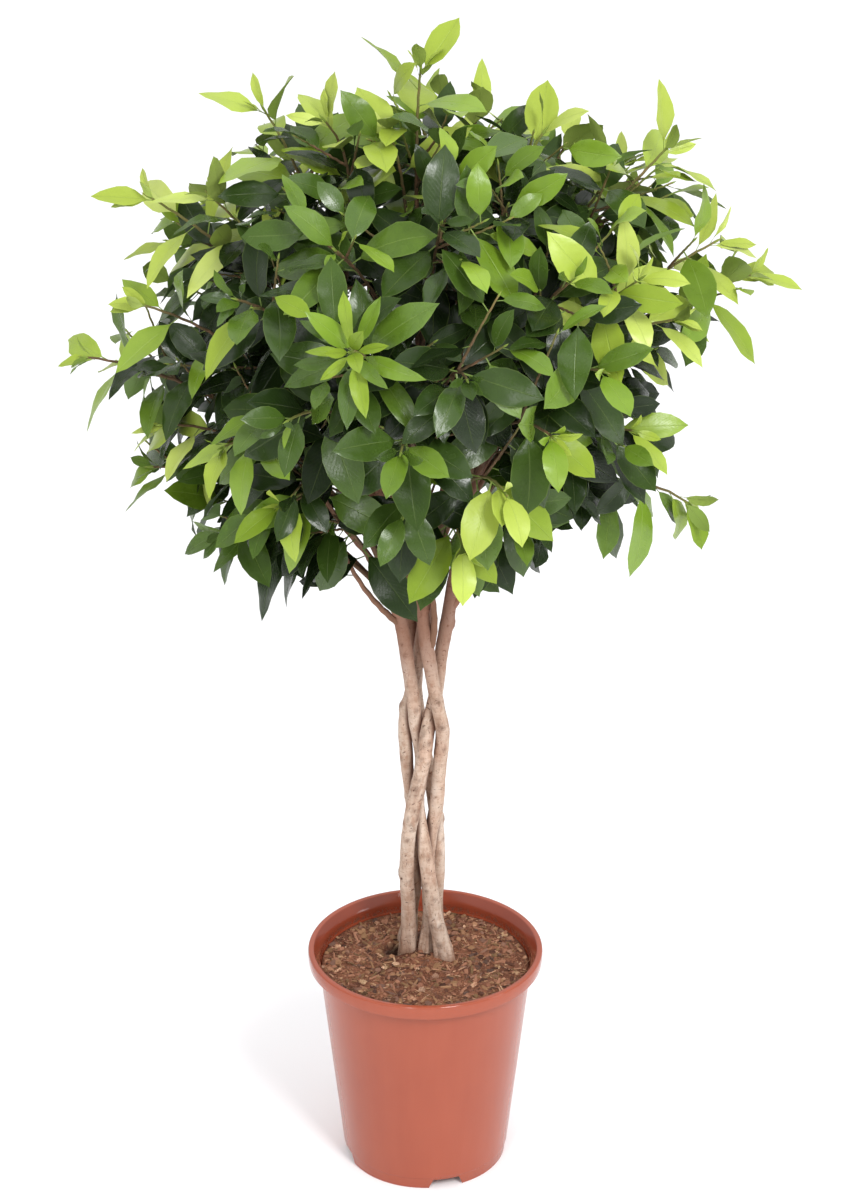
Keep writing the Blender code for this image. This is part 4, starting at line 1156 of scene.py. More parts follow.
# %% Rules for one branch
def spray_places():
    """Every spray's tip and character, the listed front ones and the rings of the back half."""
    places = {}
    for name, (x, y, z, *character) in FRONT_SPRAYS.items():
        places[name] = (Vector((x / 1000, y / 1000, z / 1000)), *character)
    first, last = BACK_ARC_DEG
    for ring, (height, reach, count, hang) in enumerate(BACK_RINGS):
        for k in range(count):
            turn = math.radians(first + (last - first) * (k + 0.5) / count)
            rise = 0.014 * math.sin(3.7 * k + ring)
            age = 0.35 + 0.3 * math.sin(2.3 * k + 1.7 * ring)
            name = f"back_{ring + 1}_{k + 1}"
            tip = Vector((reach * math.cos(turn), reach * math.sin(turn), height + rise))
            places[name] = (tip, BACK_LEAVES, age, hang, BACK_LEAF_AGES.get(name, age))
    return places


def tip_direction(tip, hang):
    outward = Vector((tip.x, tip.y, 0))
    outward = outward.normalized() if outward.length > 0.03 else Vector((0.2, -0.2, 0))
    lift = math.radians(TWIG_LIFT_DEG - TWIG_HANG_DEG * hang)
    return (outward * math.cos(lift) + UP * math.sin(lift)).normalized()


def nearest_stem(tip, lines):
    flat = Vector((tip.x, tip.y)) * STEM_CHOICE
    return min(lines, key=lambda s: (lines[s][-1].to_2d() - flat).length)


def stray(draw, far):
    return Vector([draw.uniform(-far, far) for _ in range(3)])


def branch_controls(tip, hang, line, draw, attempt):
    """A Bezier from the stem's line to the tip, bent a little more with each attempt."""
    reach = math.hypot(tip.x, tip.y)
    wander = BRANCH_WANDER[0] + BRANCH_WANDER[1] * attempt
    start_height = tip.z - BRANCH_DROP - BRANCH_SLOPE * reach + draw.uniform(-wander, wander) * 2
    start = point_on(line, min(max(start_height, LIMB_LOWEST_START), LIMB_HIGHEST_START))
    run = (tip - start).length
    outward = Vector((tip.x - start.x, tip.y - start.y, 0)) / run
    rise = start + (UP * BRANCH_RISE[0] + outward * BRANCH_RISE[1]) * run
    pull = tip - tip_direction(tip, hang) * BRANCH_PULL * run
    bend = stray(draw, wander)
    return [start, rise + bend, pull + bend * 0.6, tip]


def limb_tube(controls, room):
    points, headings = along_curve(controls, 0.0, limb_end(controls), LIMB_STEPS)
    return tube(points, [LIMB_RADIUS + room] * len(points), LIMB_SIDES, headings)


def twig_tube(controls, room=0.0):
    """The twig's tapered tube with its pointed end bud, a small gap on from the limb."""
    points, headings = along_curve(controls, limb_end(controls, GAP), 1.0, TWIG_STEPS)
    points.append(points[-1] + headings[-1] * BUD_LENGTH)
    thinner = TWIG_TIP_RADIUS - TWIG_RADIUS
    taper = [TWIG_RADIUS + thinner * i / TWIG_STEPS + room for i in range(TWIG_STEPS + 1)]
    return tube(points, taper, TWIG_SIDES, headings, pointed=True)


# %% Lay the branches clear of each other
def obstacle(shape, owner):
    """Something that others can hit: a shape's faces, and a ball round it that is quick to test first."""
    points, faces = shape
    centre = sum(points, Vector()) / len(points)
    reach = max((p - centre).length for p in points)
    return {"tree": BVHTree.FromPolygons(points, faces), "centre": centre, "reach": reach, "owner": owner}


def hits(solid, obstacles, skip=None):
    """Whether a solid crosses any obstacle, apart from those of one owner."""
    for other in obstacles:
        near = (other["centre"] - solid["centre"]).length < other["reach"] + solid["reach"]
        if other["owner"] != skip and near and solid["tree"].overlap(other["tree"]):
            return True
    return False


def lay_branches(lines, draw):
    """One branch for each spray, clear of every other stem and its branches."""
    branches, obstacles = {}, []
    for stem, line in lines.items():
        wide = tube(line, [stem_radius(stem, p.z) + BRANCH_ROOM for p in line], STEM_SIDES)
        obstacles.append(obstacle(wide, stem))
    for name, (tip, count, age, hang, leaf_age) in spray_places().items():
        stem = nearest_stem(tip, lines)
        for attempt in range(BRANCH_TRIES):
            controls = branch_controls(tip, hang, lines[stem], draw, attempt)
            limb = obstacle(limb_tube(controls, BRANCH_ROOM), stem)
            twig = obstacle(twig_tube(controls, BRANCH_ROOM), name)
            if not hits(limb, obstacles, stem) and not hits(twig, obstacles):
                branches[name] = {"stem": stem, "controls": controls, "count": count, "hang": hang}
                branches[name] |= {"age": age, "leaf_age": leaf_age}
                obstacles += [limb, twig]
                break
        else:
            print("no clear way for", name)
    return branches, obstacles


draw = random.Random(DRAW_SEED)
branches, obstacles = lay_branches(stem_lines, draw)
print(len(branches), "branches")

# %% [markdown]
# ## Leaves
# First the sizes that all leaves share with the solids: length, width, stalk, how far each arches and how
# leaves turn round a twig.

# %% Sizes of leaves
GOLDEN_ANGLE = math.radians(137.5)
INTERNODE = 0.0145
LEAF_THICKNESS = 0.0008
LEAF_LENGTH = 0.073
LEAF_YOUNG_SHARE = (0.66, 0.80, 0.92, 1.0)
LEAF_WIDTH_SHARE = 0.46
LEAF_SPREAD_DEG = (22.0, 38.0, 50.0, 60.0, 66.0)
LEAF_ARCH_DEG = 26.0
LEAF_SECTIONS = ((0.33, 1.00), (0.70, 0.86))
LEAF_ROLL = 0.30
LEAF_FACING = 0.42
PETIOLE_LENGTH = 0.012
PETIOLE_RADIUS = 0.0009
PETIOLE_ROOT_RADIUS = 0.0005
LEAF_TRIES = 30
LEAF_ROOM = 0.0012
LEAF_SIZES = (0.88, 1.10)
LEAF_SHRINK = 0.012
TWIG_BARE_TIP = 0.005
TWIG_BARE_FOOT = 0.012
LEAF_WANDER = (0.10, 0.09)
LEAF_DROOP = (0.10, 0.07)
LEAF_HANG = 0.85
OLDEST = 4
CROWN_LIMIT = Vector((0.366, 0.330, 1.230))
CROWN_LOWEST_LEAF = 0.612
CROWN_CENTRE = Vector((0.0, 0.0, 0.86))

# %% [markdown]
# ## Leaf blades
# A ficus leaf is a smooth oval with a short point, folded a little along its midrib and arched towards its
# tip. Eight blades with different arch, fold, wave and twist are made once, and every leaf of the tree is a
# copy of one of them. Each is a thin closed shape: an upper and a lower sheet with four strips across, both
# ending in the same rim, and a short stalk. Where a point lies on the blade, across and along, is its UV
# place.

# %% Outline and poses of the blades
BLADE_ROWS = (
    (0.0, 0.05), (0.09, 0.4), (0.22, 0.81), (0.38, 1.0), (0.55, 1.0), (0.71, 0.83), (0.85, 0.5), (0.94, 0.17),
)
BLADE_THICKNESS = 0.006
STALK = 0.165
STALK_HALF = 0.010
BLADE_POSES = {
    "blade_1": {"arch": 20, "fold": 0.16, "wave": 0.02, "twist": 6, "sway": 0.03},
    "blade_2": {"arch": 36, "fold": 0.22, "wave": 0.03, "twist": -8, "sway": -0.04},
    "blade_3": {"arch": 12, "fold": 0.10, "wave": 0.035, "twist": 12, "sway": 0.02},
    "blade_4": {"arch": 28, "fold": 0.30, "wave": 0.02, "twist": -3, "sway": 0.05},
    "blade_5": {"arch": 46, "fold": 0.14, "wave": 0.04, "twist": 10, "sway": -0.03},
    "blade_6": {"arch": 24, "fold": 0.20, "wave": 0.045, "twist": -16, "sway": 0.0},
    "blade_7": {"arch": 32, "fold": 0.12, "wave": 0.015, "twist": 4, "sway": -0.06},
    "blade_8": {"arch": 6, "fold": 0.34, "wave": 0.03, "twist": -6, "sway": 0.04},
}
UPPER, LOWER, STALK_SIDE = 0.0, 1.0, 2.0


def blade_point(along, across, half, pose, lift=0.0):
    """A point of the blade, along 0..1, across -1..1, with half its width there."""
    bend = math.radians(pose["arch"])
    turn = bend * along
    centre = Vector((STALK + math.sin(turn) / bend, pose["sway"] * along**2, -(1 - math.cos(turn)) / bend))
    normal = Vector((math.sin(turn), 0, math.cos(turn)))
    ahead = Vector((math.cos(turn), 0, -math.sin(turn)))
    roll = math.radians(pose["twist"]) * along
    side = Vector((0, 1, 0)) * math.cos(roll) + normal * math.sin(roll)
    up = ahead.cross(side)
    reach = half * across
    rise = pose["fold"] * abs(reach) * (1.35 - 0.7 * abs(across))
    ripple = math.sin(2 * math.pi * (1.4 * along + 0.3 * across))
    rise += pose["wave"] * across**2 * ripple * (half / (LEAF_WIDTH_SHARE / 2))
    return centre + side * reach + up * (rise + lift)


def blade(pose):
    """Points, faces, UV places of the points and which side each face is on."""
    points, places, faces, sides = [], [], [], []

    def add(point, across, along):
        points.append(point)
        places.append(((across + 1) / 2, along))
        return len(points) - 1

    upper, lower = [], []
    for along, width in BLADE_ROWS:
        half = width * LEAF_WIDTH_SHARE / 2
        thick = BLADE_THICKNESS / 2
        row = []
        for across in (-1.0, -0.5, 0.0, 0.5, 1.0):
            lift = thick if abs(across) < 1 else 0.0
            row.append(add(blade_point(along, across, half, pose, lift), across, along))
        upper.append(row)
        drops = []
        for across in (-0.5, 0.0, 0.5):
            drops.append(add(blade_point(along, across, half, pose, -thick * 1.4), across, along))
        lower.append([row[0], *drops, row[4]])
    tip = add(blade_point(1.0, 0.0, 0.0, pose), 0.0, 1.0)
    for near, far in zip(upper, upper[1:]):
        for k in range(4):
            faces += [(near[k], far[k], far[k + 1]), (near[k], far[k + 1], near[k + 1])]
    faces += [(upper[-1][k], tip, upper[-1][k + 1]) for k in range(4)]
    sides += [UPPER] * len(faces)
    for near, far in zip(lower, lower[1:]):
        for k in range(4):
            faces += [(far[k + 1], far[k], near[k]), (near[k + 1], far[k + 1], near[k])]
    faces += [(lower[-1][k + 1], tip, lower[-1][k]) for k in range(4)]
    sides += [LOWER] * (len(faces) - len(sides))
    end = [upper[0][4], upper[0][2], upper[0][0], lower[0][2]]
    root = []
    for y, z in ((STALK_HALF, 0.0), (0.0, STALK_HALF), (-STALK_HALF, 0.0), (0.0, -STALK_HALF)):
        root.append(add(Vector((0.0, y, z)), 0.0, 0.0))
    faces += [(root[k], end[k], end[(k + 1) % 4], root[(k + 1) % 4]) for k in range(4)]
    faces += [tuple(reversed(root)), (*upper[0], *reversed(lower[0][1:4]))]
    sides += [STALK_SIDE] * (len(faces) - len(sides))
    return points, faces, places, sides


# %% [markdown]
# ## Where the leaves sit
# Leaves leave the twig one by one, each a golden angle further round, the youngest at the tip. Each leaf
# looks for a pose in which its blade clears all that is already there, and is left out where there is none.
# A leaf is kept here as its root, its direction, its upper side and its length, because its fine shape
# comes later.

# %% Pose of one leaf
def leaf_solid(root, ahead, face_up, length, width, petiole=PETIOLE_LENGTH, room=0.0):
    """A petiole of three sides that widens into an arched blade with a pointed tip."""
    side = ahead.cross(face_up).normalized()
    bend = math.radians(LEAF_ARCH_DEG)
    half = (LEAF_THICKNESS / 2) + room
    points = []
    for away, radius in ((0.0, PETIOLE_ROOT_RADIUS), (petiole, PETIOLE_RADIUS)):
        centre = root + ahead * away
        size = radius + room
        points += [centre + side * size, centre - side * size, centre - face_up * size * 1.3]
    start = root + ahead * petiole
    for share, breadth in LEAF_SECTIONS:
        turn = bend * share
        centre = start + (ahead * math.sin(turn) - face_up * (1 - math.cos(turn))) * (length / bend)
        normal = face_up * math.cos(turn) + ahead * math.sin(turn)
        reach = width / 2 * breadth + room
        points += [
            centre + side * reach + normal * half,
            centre - side * reach + normal * half,
            centre - side * reach - normal * half,
            centre + side * reach - normal * half,
        ]
    tip_way = ahead * math.sin(bend) - face_up * (1 - math.cos(bend))
    points.append(start + tip_way * ((length + room) / bend))
    faces = [(0, 1, 2), (0, 3, 4, 1), (1, 4, 5, 2), (2, 5, 3, 0)]
    faces += [(3, 6, 7, 4), (4, 7, 8), (4, 8, 5), (5, 8, 9), (5, 9, 3), (3, 9, 6)]
    for k in range(4):
        low, n = 6 + k, 6 + (k + 1) % 4
        faces += [(low, low + 4, n + 4, n)]
    faces += [(10 + k, 14, 10 + (k + 1) % 4) for k in range(4)]
    return points, faces


def leaf_pose(twig_point, axis, index, turn, hang, draw, attempt):
    """Direction and upward side of one leaf: golden-angle turns round the twig, drooping with age."""
    wander, leaf_rank = LEAF_WANDER[0] + LEAF_WANDER[1] * attempt, min(index, OLDEST)
    radial = sideways(axis, turn + draw.uniform(-wander, wander))
    spread = math.radians(LEAF_SPREAD_DEG[leaf_rank] + draw.uniform(-6, 6) - 1.2 * attempt)
    ahead = axis * math.cos(spread) + radial * math.sin(spread)
    droop = (LEAF_DROOP[0] + LEAF_DROOP[1] * leaf_rank) * (1 + min(hang, 0.0)) + LEAF_HANG * max(hang, 0.0)
    ahead = (ahead - UP * (droop + draw.uniform(-0.1, 0.1))).normalized()
    outward = (twig_point - CROWN_CENTRE).normalized()
    facing = -LEAF_FACING if twig_point.y < 0.03 else LEAF_FACING
    lean = Vector((0, facing, 0.75)) + axis * 0.50 + outward * 0.45
    lean += stray(draw, LEAF_ROLL)
    face_up = (lean - ahead * lean.dot(ahead)).normalized()
    return ahead, face_up


def inside_crown(points):
    return all(
        abs(p.x) <= CROWN_LIMIT.x and abs(p.y) <= CROWN_LIMIT.y and CROWN_LOWEST_LEAF <= p.z <= CROWN_LIMIT.z
        for p in points
    )


# %% Lay the leaves of the solids' sprays
def leaf_sites(branch):
    """Number, place and heading of each leaf on a solid twig, and its place on the twig's smooth curve."""
    start = limb_end(branch["controls"], GAP)
    twig, _ = along_curve(branch["controls"], start, 1.0, TWIG_STEPS)
    lengths = [0.0]
    for a, b in zip(twig, twig[1:]):
        lengths.append(lengths[-1] + (b - a).length)
    for index in range(branch["count"]):
        away = TWIG_BARE_TIP + INTERNODE * index
        if away > lengths[-1] - TWIG_BARE_FOOT:
            break
        place = lengths[-1] - away
        k = max(i for i in range(TWIG_STEPS) if lengths[i] <= place)
        axis = (twig[k + 1] - twig[k]).normalized()
        share = (k + (place - lengths[k]) / (lengths[k + 1] - lengths[k])) / TWIG_STEPS
        smooth_root = bezier(branch["controls"], start + (1 - start) * share)
        yield index, twig[k] + axis * (place - lengths[k]), axis, smooth_root


def clear_leaf(name, pose, length, obstacles):
    """The solid of a leaf in a pose, if it is inside the crown and clear of all that is there."""
    root, ahead, face_up = pose
    width = length * LEAF_WIDTH_SHARE
    bare = leaf_solid(root, ahead, face_up, length, width)
    wide_root = root + ahead * (PETIOLE_LENGTH * 0.45)
    wide = leaf_solid(wide_root, ahead, face_up, length, width, PETIOLE_LENGTH * 0.55, LEAF_ROOM)
    if not inside_crown(bare[0]) or hits(obstacle(wide, name), obstacles):
        return None
    solid = obstacle(bare, name)
    return None if hits(solid, obstacles, name) else solid


def lay_leaves(branches, obstacles, draw):
    """Every spray's leaves, each clear of all that is already there."""
    leaves = {}
    for name, branch in branches.items():
        leaves[name] = []
        first_turn = draw.uniform(0, 2 * math.pi)
        for index, root, axis, smooth_root in leaf_sites(branch):
            size = LEAF_LENGTH * LEAF_YOUNG_SHARE[min(index, 3)] * draw.uniform(*LEAF_SIZES)
            turn = first_turn + GOLDEN_ANGLE * index
            for attempt in range(LEAF_TRIES):
                ahead, face_up = leaf_pose(root, axis, index, turn, branch["hang"], draw, attempt)
                length = size * (1 - LEAF_SHRINK * attempt)
                solid = clear_leaf(name, (root, ahead, face_up), length, obstacles)
                if solid:
                    obstacles.append(solid)
                    leaf = {"root": smooth_root, "ahead": ahead, "face_up": face_up}
                    leaves[name].append(leaf | {"length": length, "index": index})
                    break
    return leaves


leaves = lay_leaves(branches, obstacles, draw)
print(sum(len(found) for found in leaves.values()), "leaves in the sprays of the solids")

# %% [markdown]
# ## Fit the blades
# The fine blades are not quite the flat leaves of the solids, so neighbours could cut into each other. Each
# leaf therefore tries the eight blades at random, with small turns that grow, until its blade crosses
# nothing that is already there. The front rosette and the sprays at the sides of the head have narrower
# leaves.

# %% Fit one blade
FIT_SEED = 21
FIT_TRIES = 26
FIT_STRAY_DEG = 0.7
WIDTH_CHOICE = (0.90, 1.10)
UNIT_BLADES = []
for pose in BLADE_POSES.values():
    points, faces, _, sides = blade(pose)
    UNIT_BLADES.append((points, [face for face, side in zip(faces, sides) if side != STALK_SIDE]))


def leaf_frame(leaf):
    """The leaf's own axes as a matrix: along it, across it and out of its upper side."""
    across = leaf["face_up"].cross(leaf["ahead"]).normalized()
    return Matrix((leaf["ahead"], across, leaf["face_up"])).transposed()


def placed_blade(leaf, owner):
    """The blade of a leaf, where it lies, as something that others can hit."""
    unit_points, unit_faces = UNIT_BLADES[leaf["shape"]]
    axes, size = leaf_frame(leaf), leaf["length"]
    wide = size * leaf["width"]
    points = [leaf["root"] + axes @ Vector((p.x * size, p.y * wide, p.z * size)) for p in unit_points]
    return obstacle((points, unit_faces), owner)


def fit_blade(leaf, draw, owner, tries):
    """Gives a leaf its blade and turns it a little until it is clear. False if it never is."""
    first_ahead, first_up = leaf["ahead"], leaf["face_up"]
    for attempt in range(tries):
        tilt = Euler(stray(draw, math.radians(FIT_STRAY_DEG * attempt))).to_matrix()
        leaf["ahead"], leaf["face_up"] = tilt @ first_ahead, tilt @ first_up
        leaf["shape"] = draw.randrange(len(UNIT_BLADES))
        leaf["width"] = draw.uniform(*WIDTH_CHOICE) * leaf.get("slim", 1.0)
        solid = placed_blade(leaf, owner)
        if not hits(solid, fitted):
            fitted.append(solid)
            return True
    return False


# %% Fit the leaves of the solids' sprays
ROSETTE = "front_rosette"
ROSETTE_SLIM = 0.76
SIDE_REACH = 0.18
SIDE_SLIM = 0.86
fit_draw = random.Random(FIT_SEED)
fitted = [solid for solid in obstacles if solid["owner"] in stem_lines]
fitted += [obstacle(twig_tube(branch["controls"]), name) for name, branch in branches.items()]
crossing = 0
for name, found in leaves.items():
    beside = abs(branches[name]["controls"][-1].x) > SIDE_REACH
    for leaf in found:
        leaf["slim"] = ROSETTE_SLIM if name == ROSETTE else SIDE_SLIM if beside else 1.0
        if not fit_blade(leaf, fit_draw, name, FIT_TRIES):
            fitted.append(placed_blade(leaf, name))
            crossing += 1
print(crossing, "leaves still touch another")

# %% [markdown]
# A twig ends where its outermost leaf sits, with two to four small slim leaves round its bud, folded
# forwards. The front rosette has many more slim ones, spread like a star.

# %% Twig ends and their small leaves
TIP = {"count": (2, 4), "size": (0.26, 0.52), "slant": (18, 42), "slim": 0.78, "index": 0}
STAR = {"count": (10, 10), "size": (0.40, 0.92), "slant": (36, 96), "slim": 0.62, "index": 2}
TIP_SEED = 33
TIP_CLEAR = 0.004
TIP_TRIES = 5
TIP_ROLL = 0.35
END_STEPS = 80


def outer_end(controls, roots):
    """Parameter on a curve just past the outermost of some leaf roots."""
    steps = [k / END_STEPS for k in range(END_STEPS + 1)]
    nearest = [min(steps, key=lambda t: (bezier(controls, t) - root).length) for root in roots]
    return min(1.0, max(nearest) + TIP_CLEAR / (controls[3] - controls[2]).length / 3) if nearest else 1.0


def tip_leaves(controls, end, draw, owner, kind):
    """Small leaves round the end of a twig, each kept only if its blade is clear."""
    point, axis = bezier(controls, end), bezier_heading(controls, end)
    first_turn, found = draw.uniform(0, 2 * math.pi), []
    for k in range(draw.randint(*kind["count"])):
        away = sideways(axis, first_turn + GOLDEN_ANGLE * k)
        slant = math.radians(draw.uniform(*kind["slant"]))
        ahead = axis * math.cos(slant) + away * math.sin(slant)
        face_up = (axis - ahead * ahead.dot(axis)).normalized()
        face_up = Matrix.Rotation(draw.gauss(0.0, TIP_ROLL), 3, ahead) @ face_up
        leaf = {"root": point - axis * 0.002 * k + away * 0.0012, "ahead": ahead, "face_up": face_up}
        leaf |= {"slim": kind["slim"], "index": kind["index"]}
        leaf["length"] = LEAF_LENGTH * draw.uniform(*kind["size"])
        if fit_blade(leaf, draw, owner, TIP_TRIES):
            found.append(leaf)
    return found


tip_draw, twig_ends = random.Random(TIP_SEED), {}
for name, branch in branches.items():
    twig_ends[name] = outer_end(branch["controls"], [leaf["root"] for leaf in leaves[name]])
    leaves[name] += tip_leaves(branch["controls"], twig_ends[name], tip_draw, name, TIP)
leaves[ROSETTE] += tip_leaves(branches[ROSETTE]["controls"], twig_ends[ROSETTE], tip_draw, ROSETTE, STAR)
print(sum(len(found) for found in leaves.values()), "leaves in those sprays with the small ones at the tips")

# %% [markdown]
# ## Growth that the solids leave out
# The solids carry only the outer leaves, about one in five. The real head is fuller: older side shoots fill
# it from inside, with dark leaves, and single old leaves hang on along the limbs. They are grown here by
# the same rules after the others. They stay inside the head's outline as seen from the front, a row of
# points in millimetres read off, and inside an oval from the other sides. Low in front the head is
# open, so the limbs show.

# %% Limits of the inner growth
SHOOTS_FRONT = 5
SHOOTS_BACK = 9
SHOOT_LEAVES = (5, 8)
SHOOT_LENGTH = (0.055, 0.105)
SHOOT_START = (0.38, 0.90)
SHOOT_SLANT_DEG = (35, 70)
SHOOT_RISE = Vector((0, 0, 0.2))
SHOOT_OUTWARD = 0.35
SHOOT_BEND = 0.18
SHOOT_INTERNODE = 0.0125
SHOOT_BARE_TIP = 0.004
SHOOT_BARE_FOOT = 0.010
SHOOT_LEAF_SIZE = (0.70, 1.04)
SHOOT_TRIES = 14
SHOOT_LEAF_TRIES = 9
INNER_LEAVES = 8
ROLL_SPREAD = 0.45
BEHIND = 0.03
EYE = Vector((0.0, -3.4, 2.26))
HEAD_CENTRE = Vector((0.0, 0.0, 0.895))
HEAD_HALF = Vector((0.36, 0.290, 0.300))
OPENING = (-0.10, 0.09, 0.80)
HEAD_OUTLINE = (
    (-166, 1133), (-124, 1150), (-83, 1152), (-49, 1145), (-23, 1179), (13, 1177), (34, 1146), (69, 1136),
    (105, 1136), (147, 1102), (198, 1102), (245, 1093), (274, 1049), (304, 999), (329, 959), (278, 929),
    (260, 899), (250, 842), (240, 796), (221, 749), (169, 717), (131, 674), (77, 655), (29, 631), (0, 663),
    (-44, 635), (-93, 635), (-142, 644), (-188, 669), (-228, 706), (-251, 759), (-283, 790), (-299, 832),
    (-314, 878), (-289, 919), (-269, 954), (-281, 994), (-257, 1029), (-256, 1054), (-209, 1078),
    (-194, 1112),
)
HEAD_OUTLINE = [(x / 1000, z / 1000) for x, z in HEAD_OUTLINE]


def inside_outline(point):
    """Whether a point lies inside the head's outline, both seen from the front."""
    share = EYE.y / (EYE.y - point.y)
    x, z = point.x * share, EYE.z + (point.z - EYE.z) * share
    inside = False
    for (x1, z1), (x2, z2) in zip(HEAD_OUTLINE, HEAD_OUTLINE[1:] + HEAD_OUTLINE[:1]):
        if (z1 > z) != (z2 > z) and x < x1 + (x2 - x1) * (z - z1) / (z2 - z1):
            inside = not inside
    left, right, top = OPENING
    return inside and not (point.y < 0.0 and left < x < right and z < top)


def oval_share(away):
    """How far out a place of the head is, squared: 0 at its centre, 1 at the surface of its oval."""
    return sum((away[i] / HEAD_HALF[i]) ** 2 for i in range(3))


def inside_head(point):
    low = point.z <= CROWN_LOWEST_LEAF + 0.01
    return oval_share(point - HEAD_CENTRE) <= 1 and not low and inside_outline(point)


# %% [markdown]
# A side shoot leaves its branch at a slant and turns outwards and up. Leaves sit along it from the tip
# down. How young a shoot looks follows the light: bright at the top and the shoulders of the head, dark
# inside and below.


# %% Rules for side shoots
def shoot_curve(branch, draw, attempt):
    t = draw.uniform(*SHOOT_START)
    start, axis = bezier(branch["controls"], t), bezier_heading(branch["controls"], t)
    radial = sideways(axis, draw.uniform(0, 2 * math.pi))
    slant = math.radians(draw.uniform(*SHOOT_SLANT_DEG))
    ahead = axis * math.cos(slant) + radial * math.sin(slant)
    outward = Vector((start.x, start.y, 0)).normalized()
    ahead = (ahead + SHOOT_RISE + outward * SHOOT_OUTWARD).normalized()
    run = draw.uniform(*SHOOT_LENGTH) * (1 - 0.02 * attempt)
    bend = Vector((draw.uniform(-1, 1), draw.uniform(-1, 1), draw.uniform(0, 1))) * SHOOT_BEND * run
    far = start + ahead * run * 0.7 + bend * 0.5
    return [start, start + ahead * run * 0.35, far, start + ahead * run + bend]


def grow_leaf(root, axis, index, turn, hang, draw, owner):
    """One leaf at a root in the first pose that is clear, or None."""
    size = LEAF_LENGTH * LEAF_YOUNG_SHARE[min(index, 3)] * draw.uniform(*SHOOT_LEAF_SIZE)
    for attempt in range(SHOOT_LEAF_TRIES):
        ahead, face_up = leaf_pose(root, axis, index, turn, hang, draw, attempt)
        if inside_head(root + ahead * size) and inside_head(root + ahead * size * 0.6):
            roll = Matrix.Rotation(draw.gauss(0.0, ROLL_SPREAD), 3, ahead)
            leaf = {"root": root, "ahead": ahead, "face_up": roll @ face_up, "index": index}
            leaf["length"] = size * (1 - 0.015 * attempt)
            if fit_blade(leaf, draw, owner, 2):
                return leaf
    return None


def leaves_along(controls, count, hang, draw, owner):
    """Leaves down a curve from its tip."""
    lengths = arc_lengths(controls, 20)
    first_turn, found = draw.uniform(0, 2 * math.pi), []
    for index in range(count):
        away = lengths[-1] - SHOOT_BARE_TIP - SHOOT_INTERNODE * index
        if away < SHOOT_BARE_FOOT:
            break
        t, turn = parameter_at(lengths, away), first_turn + GOLDEN_ANGLE * index
        root, axis = bezier(controls, t), bezier_heading(controls, t)
        found.append(grow_leaf(root, axis, index, turn, hang, draw, owner))
    return [leaf for leaf in found if leaf]


def sunlight(point):
    """How much light a place gets: 1 at the top and the shoulders of the head, 0 deep inside and below."""
    away = point - HEAD_CENTRE
    top = 9.0 * max(away.z, 0.0) ** 2 * (1 + 2.5 * away.y)
    lit = 0.26 + top + 8.0 * away.x**2 * (1 + 2.0 * min(away.z, 0.0))
    return min(max((math.sqrt(oval_share(away)) - 0.45) * 2.0, 0.0), 1.0) * min(max(lit, 0.0), 1.0)


# %% Grow the side shoots
shoots = []
for name, branch in branches.items():
    behind = branch["controls"][-1].y > BEHIND
    for k in range(SHOOTS_BACK if behind else SHOOTS_FRONT):
        for attempt in range(SHOOT_TRIES):
            controls = shoot_curve(branch, draw, attempt)
            if not inside_head(controls[-1]):
                continue
            points = [bezier(controls, t) for t in (0.25, 0.6, 1.0)]
            woody = obstacle(tube(points, [TWIG_RADIUS] * 3, TWIG_SIDES), name)
            if hits(woody, fitted):
                continue
            fitted.append(woody)
            count, hang = draw.randint(*SHOOT_LEAVES), branch["hang"] * 0.5 + 0.25
            grown = leaves_along(controls, count, hang, draw, name)
            age = min(max(sunlight(controls[-1]) * draw.uniform(0.45, 1.45), 0.03), 0.95)
            if grown:
                shoots.append({"stem": branch["stem"], "controls": controls, "leaves": grown, "age": age})
            break
print(len(shoots), "side shoots with", sum(len(s["leaves"]) for s in shoots), "leaves")

# %% [markdown]
# The photograph also shows a few thin bare limbs low in the fork: one leaves the left stem sideways and
# climbs into the leaves, one forks off the middle stem. Each is listed, from its stem to a leafy tip in the
# head.

# %% Low limbs at the fork
LOW_LIMBS = (
    ("stem_2", 0.604, (-0.0385, -0.0100, 0.6217), (-0.0614, -0.03, 0.65), (-0.0811, -0.075, 0.7248), 0.0037),
    ("stem_3", 0.576, (0.0140, -0.0075, 0.603), (0.008, -0.016, 0.64), (-0.002, -0.062, 0.715), 0.0042),
    ("stem_2", 0.652, (-0.0520, -0.0300, 0.69), (-0.078, -0.07, 0.735), (-0.1, -0.112, 0.8), 0.0034),
    ("stem_1", 0.640, (0.0440, -0.0100, 0.68), (0.06, -0.04, 0.725), (0.074, -0.09, 0.79), 0.003),
)
LOW_LIMB_AGE = 0.12
LOW_LIMB_LEAVES = 5
LOW_LIMB_HANG = 0.5
for stem, height, near, far, tip, thick in LOW_LIMBS:
    controls = [point_on(stem_lines[stem], height), Vector(near), Vector(far), Vector(tip)]
    grown = leaves_along(controls, LOW_LIMB_LEAVES, LOW_LIMB_HANG, draw, "low_limb")
    shoots.append({"stem": stem, "controls": controls, "leaves": grown, "age": LOW_LIMB_AGE, "thick": thick})
print(len(LOW_LIMBS), "low limbs with", sum(len(s["leaves"]) for s in shoots[-len(LOW_LIMBS):]), "leaves")

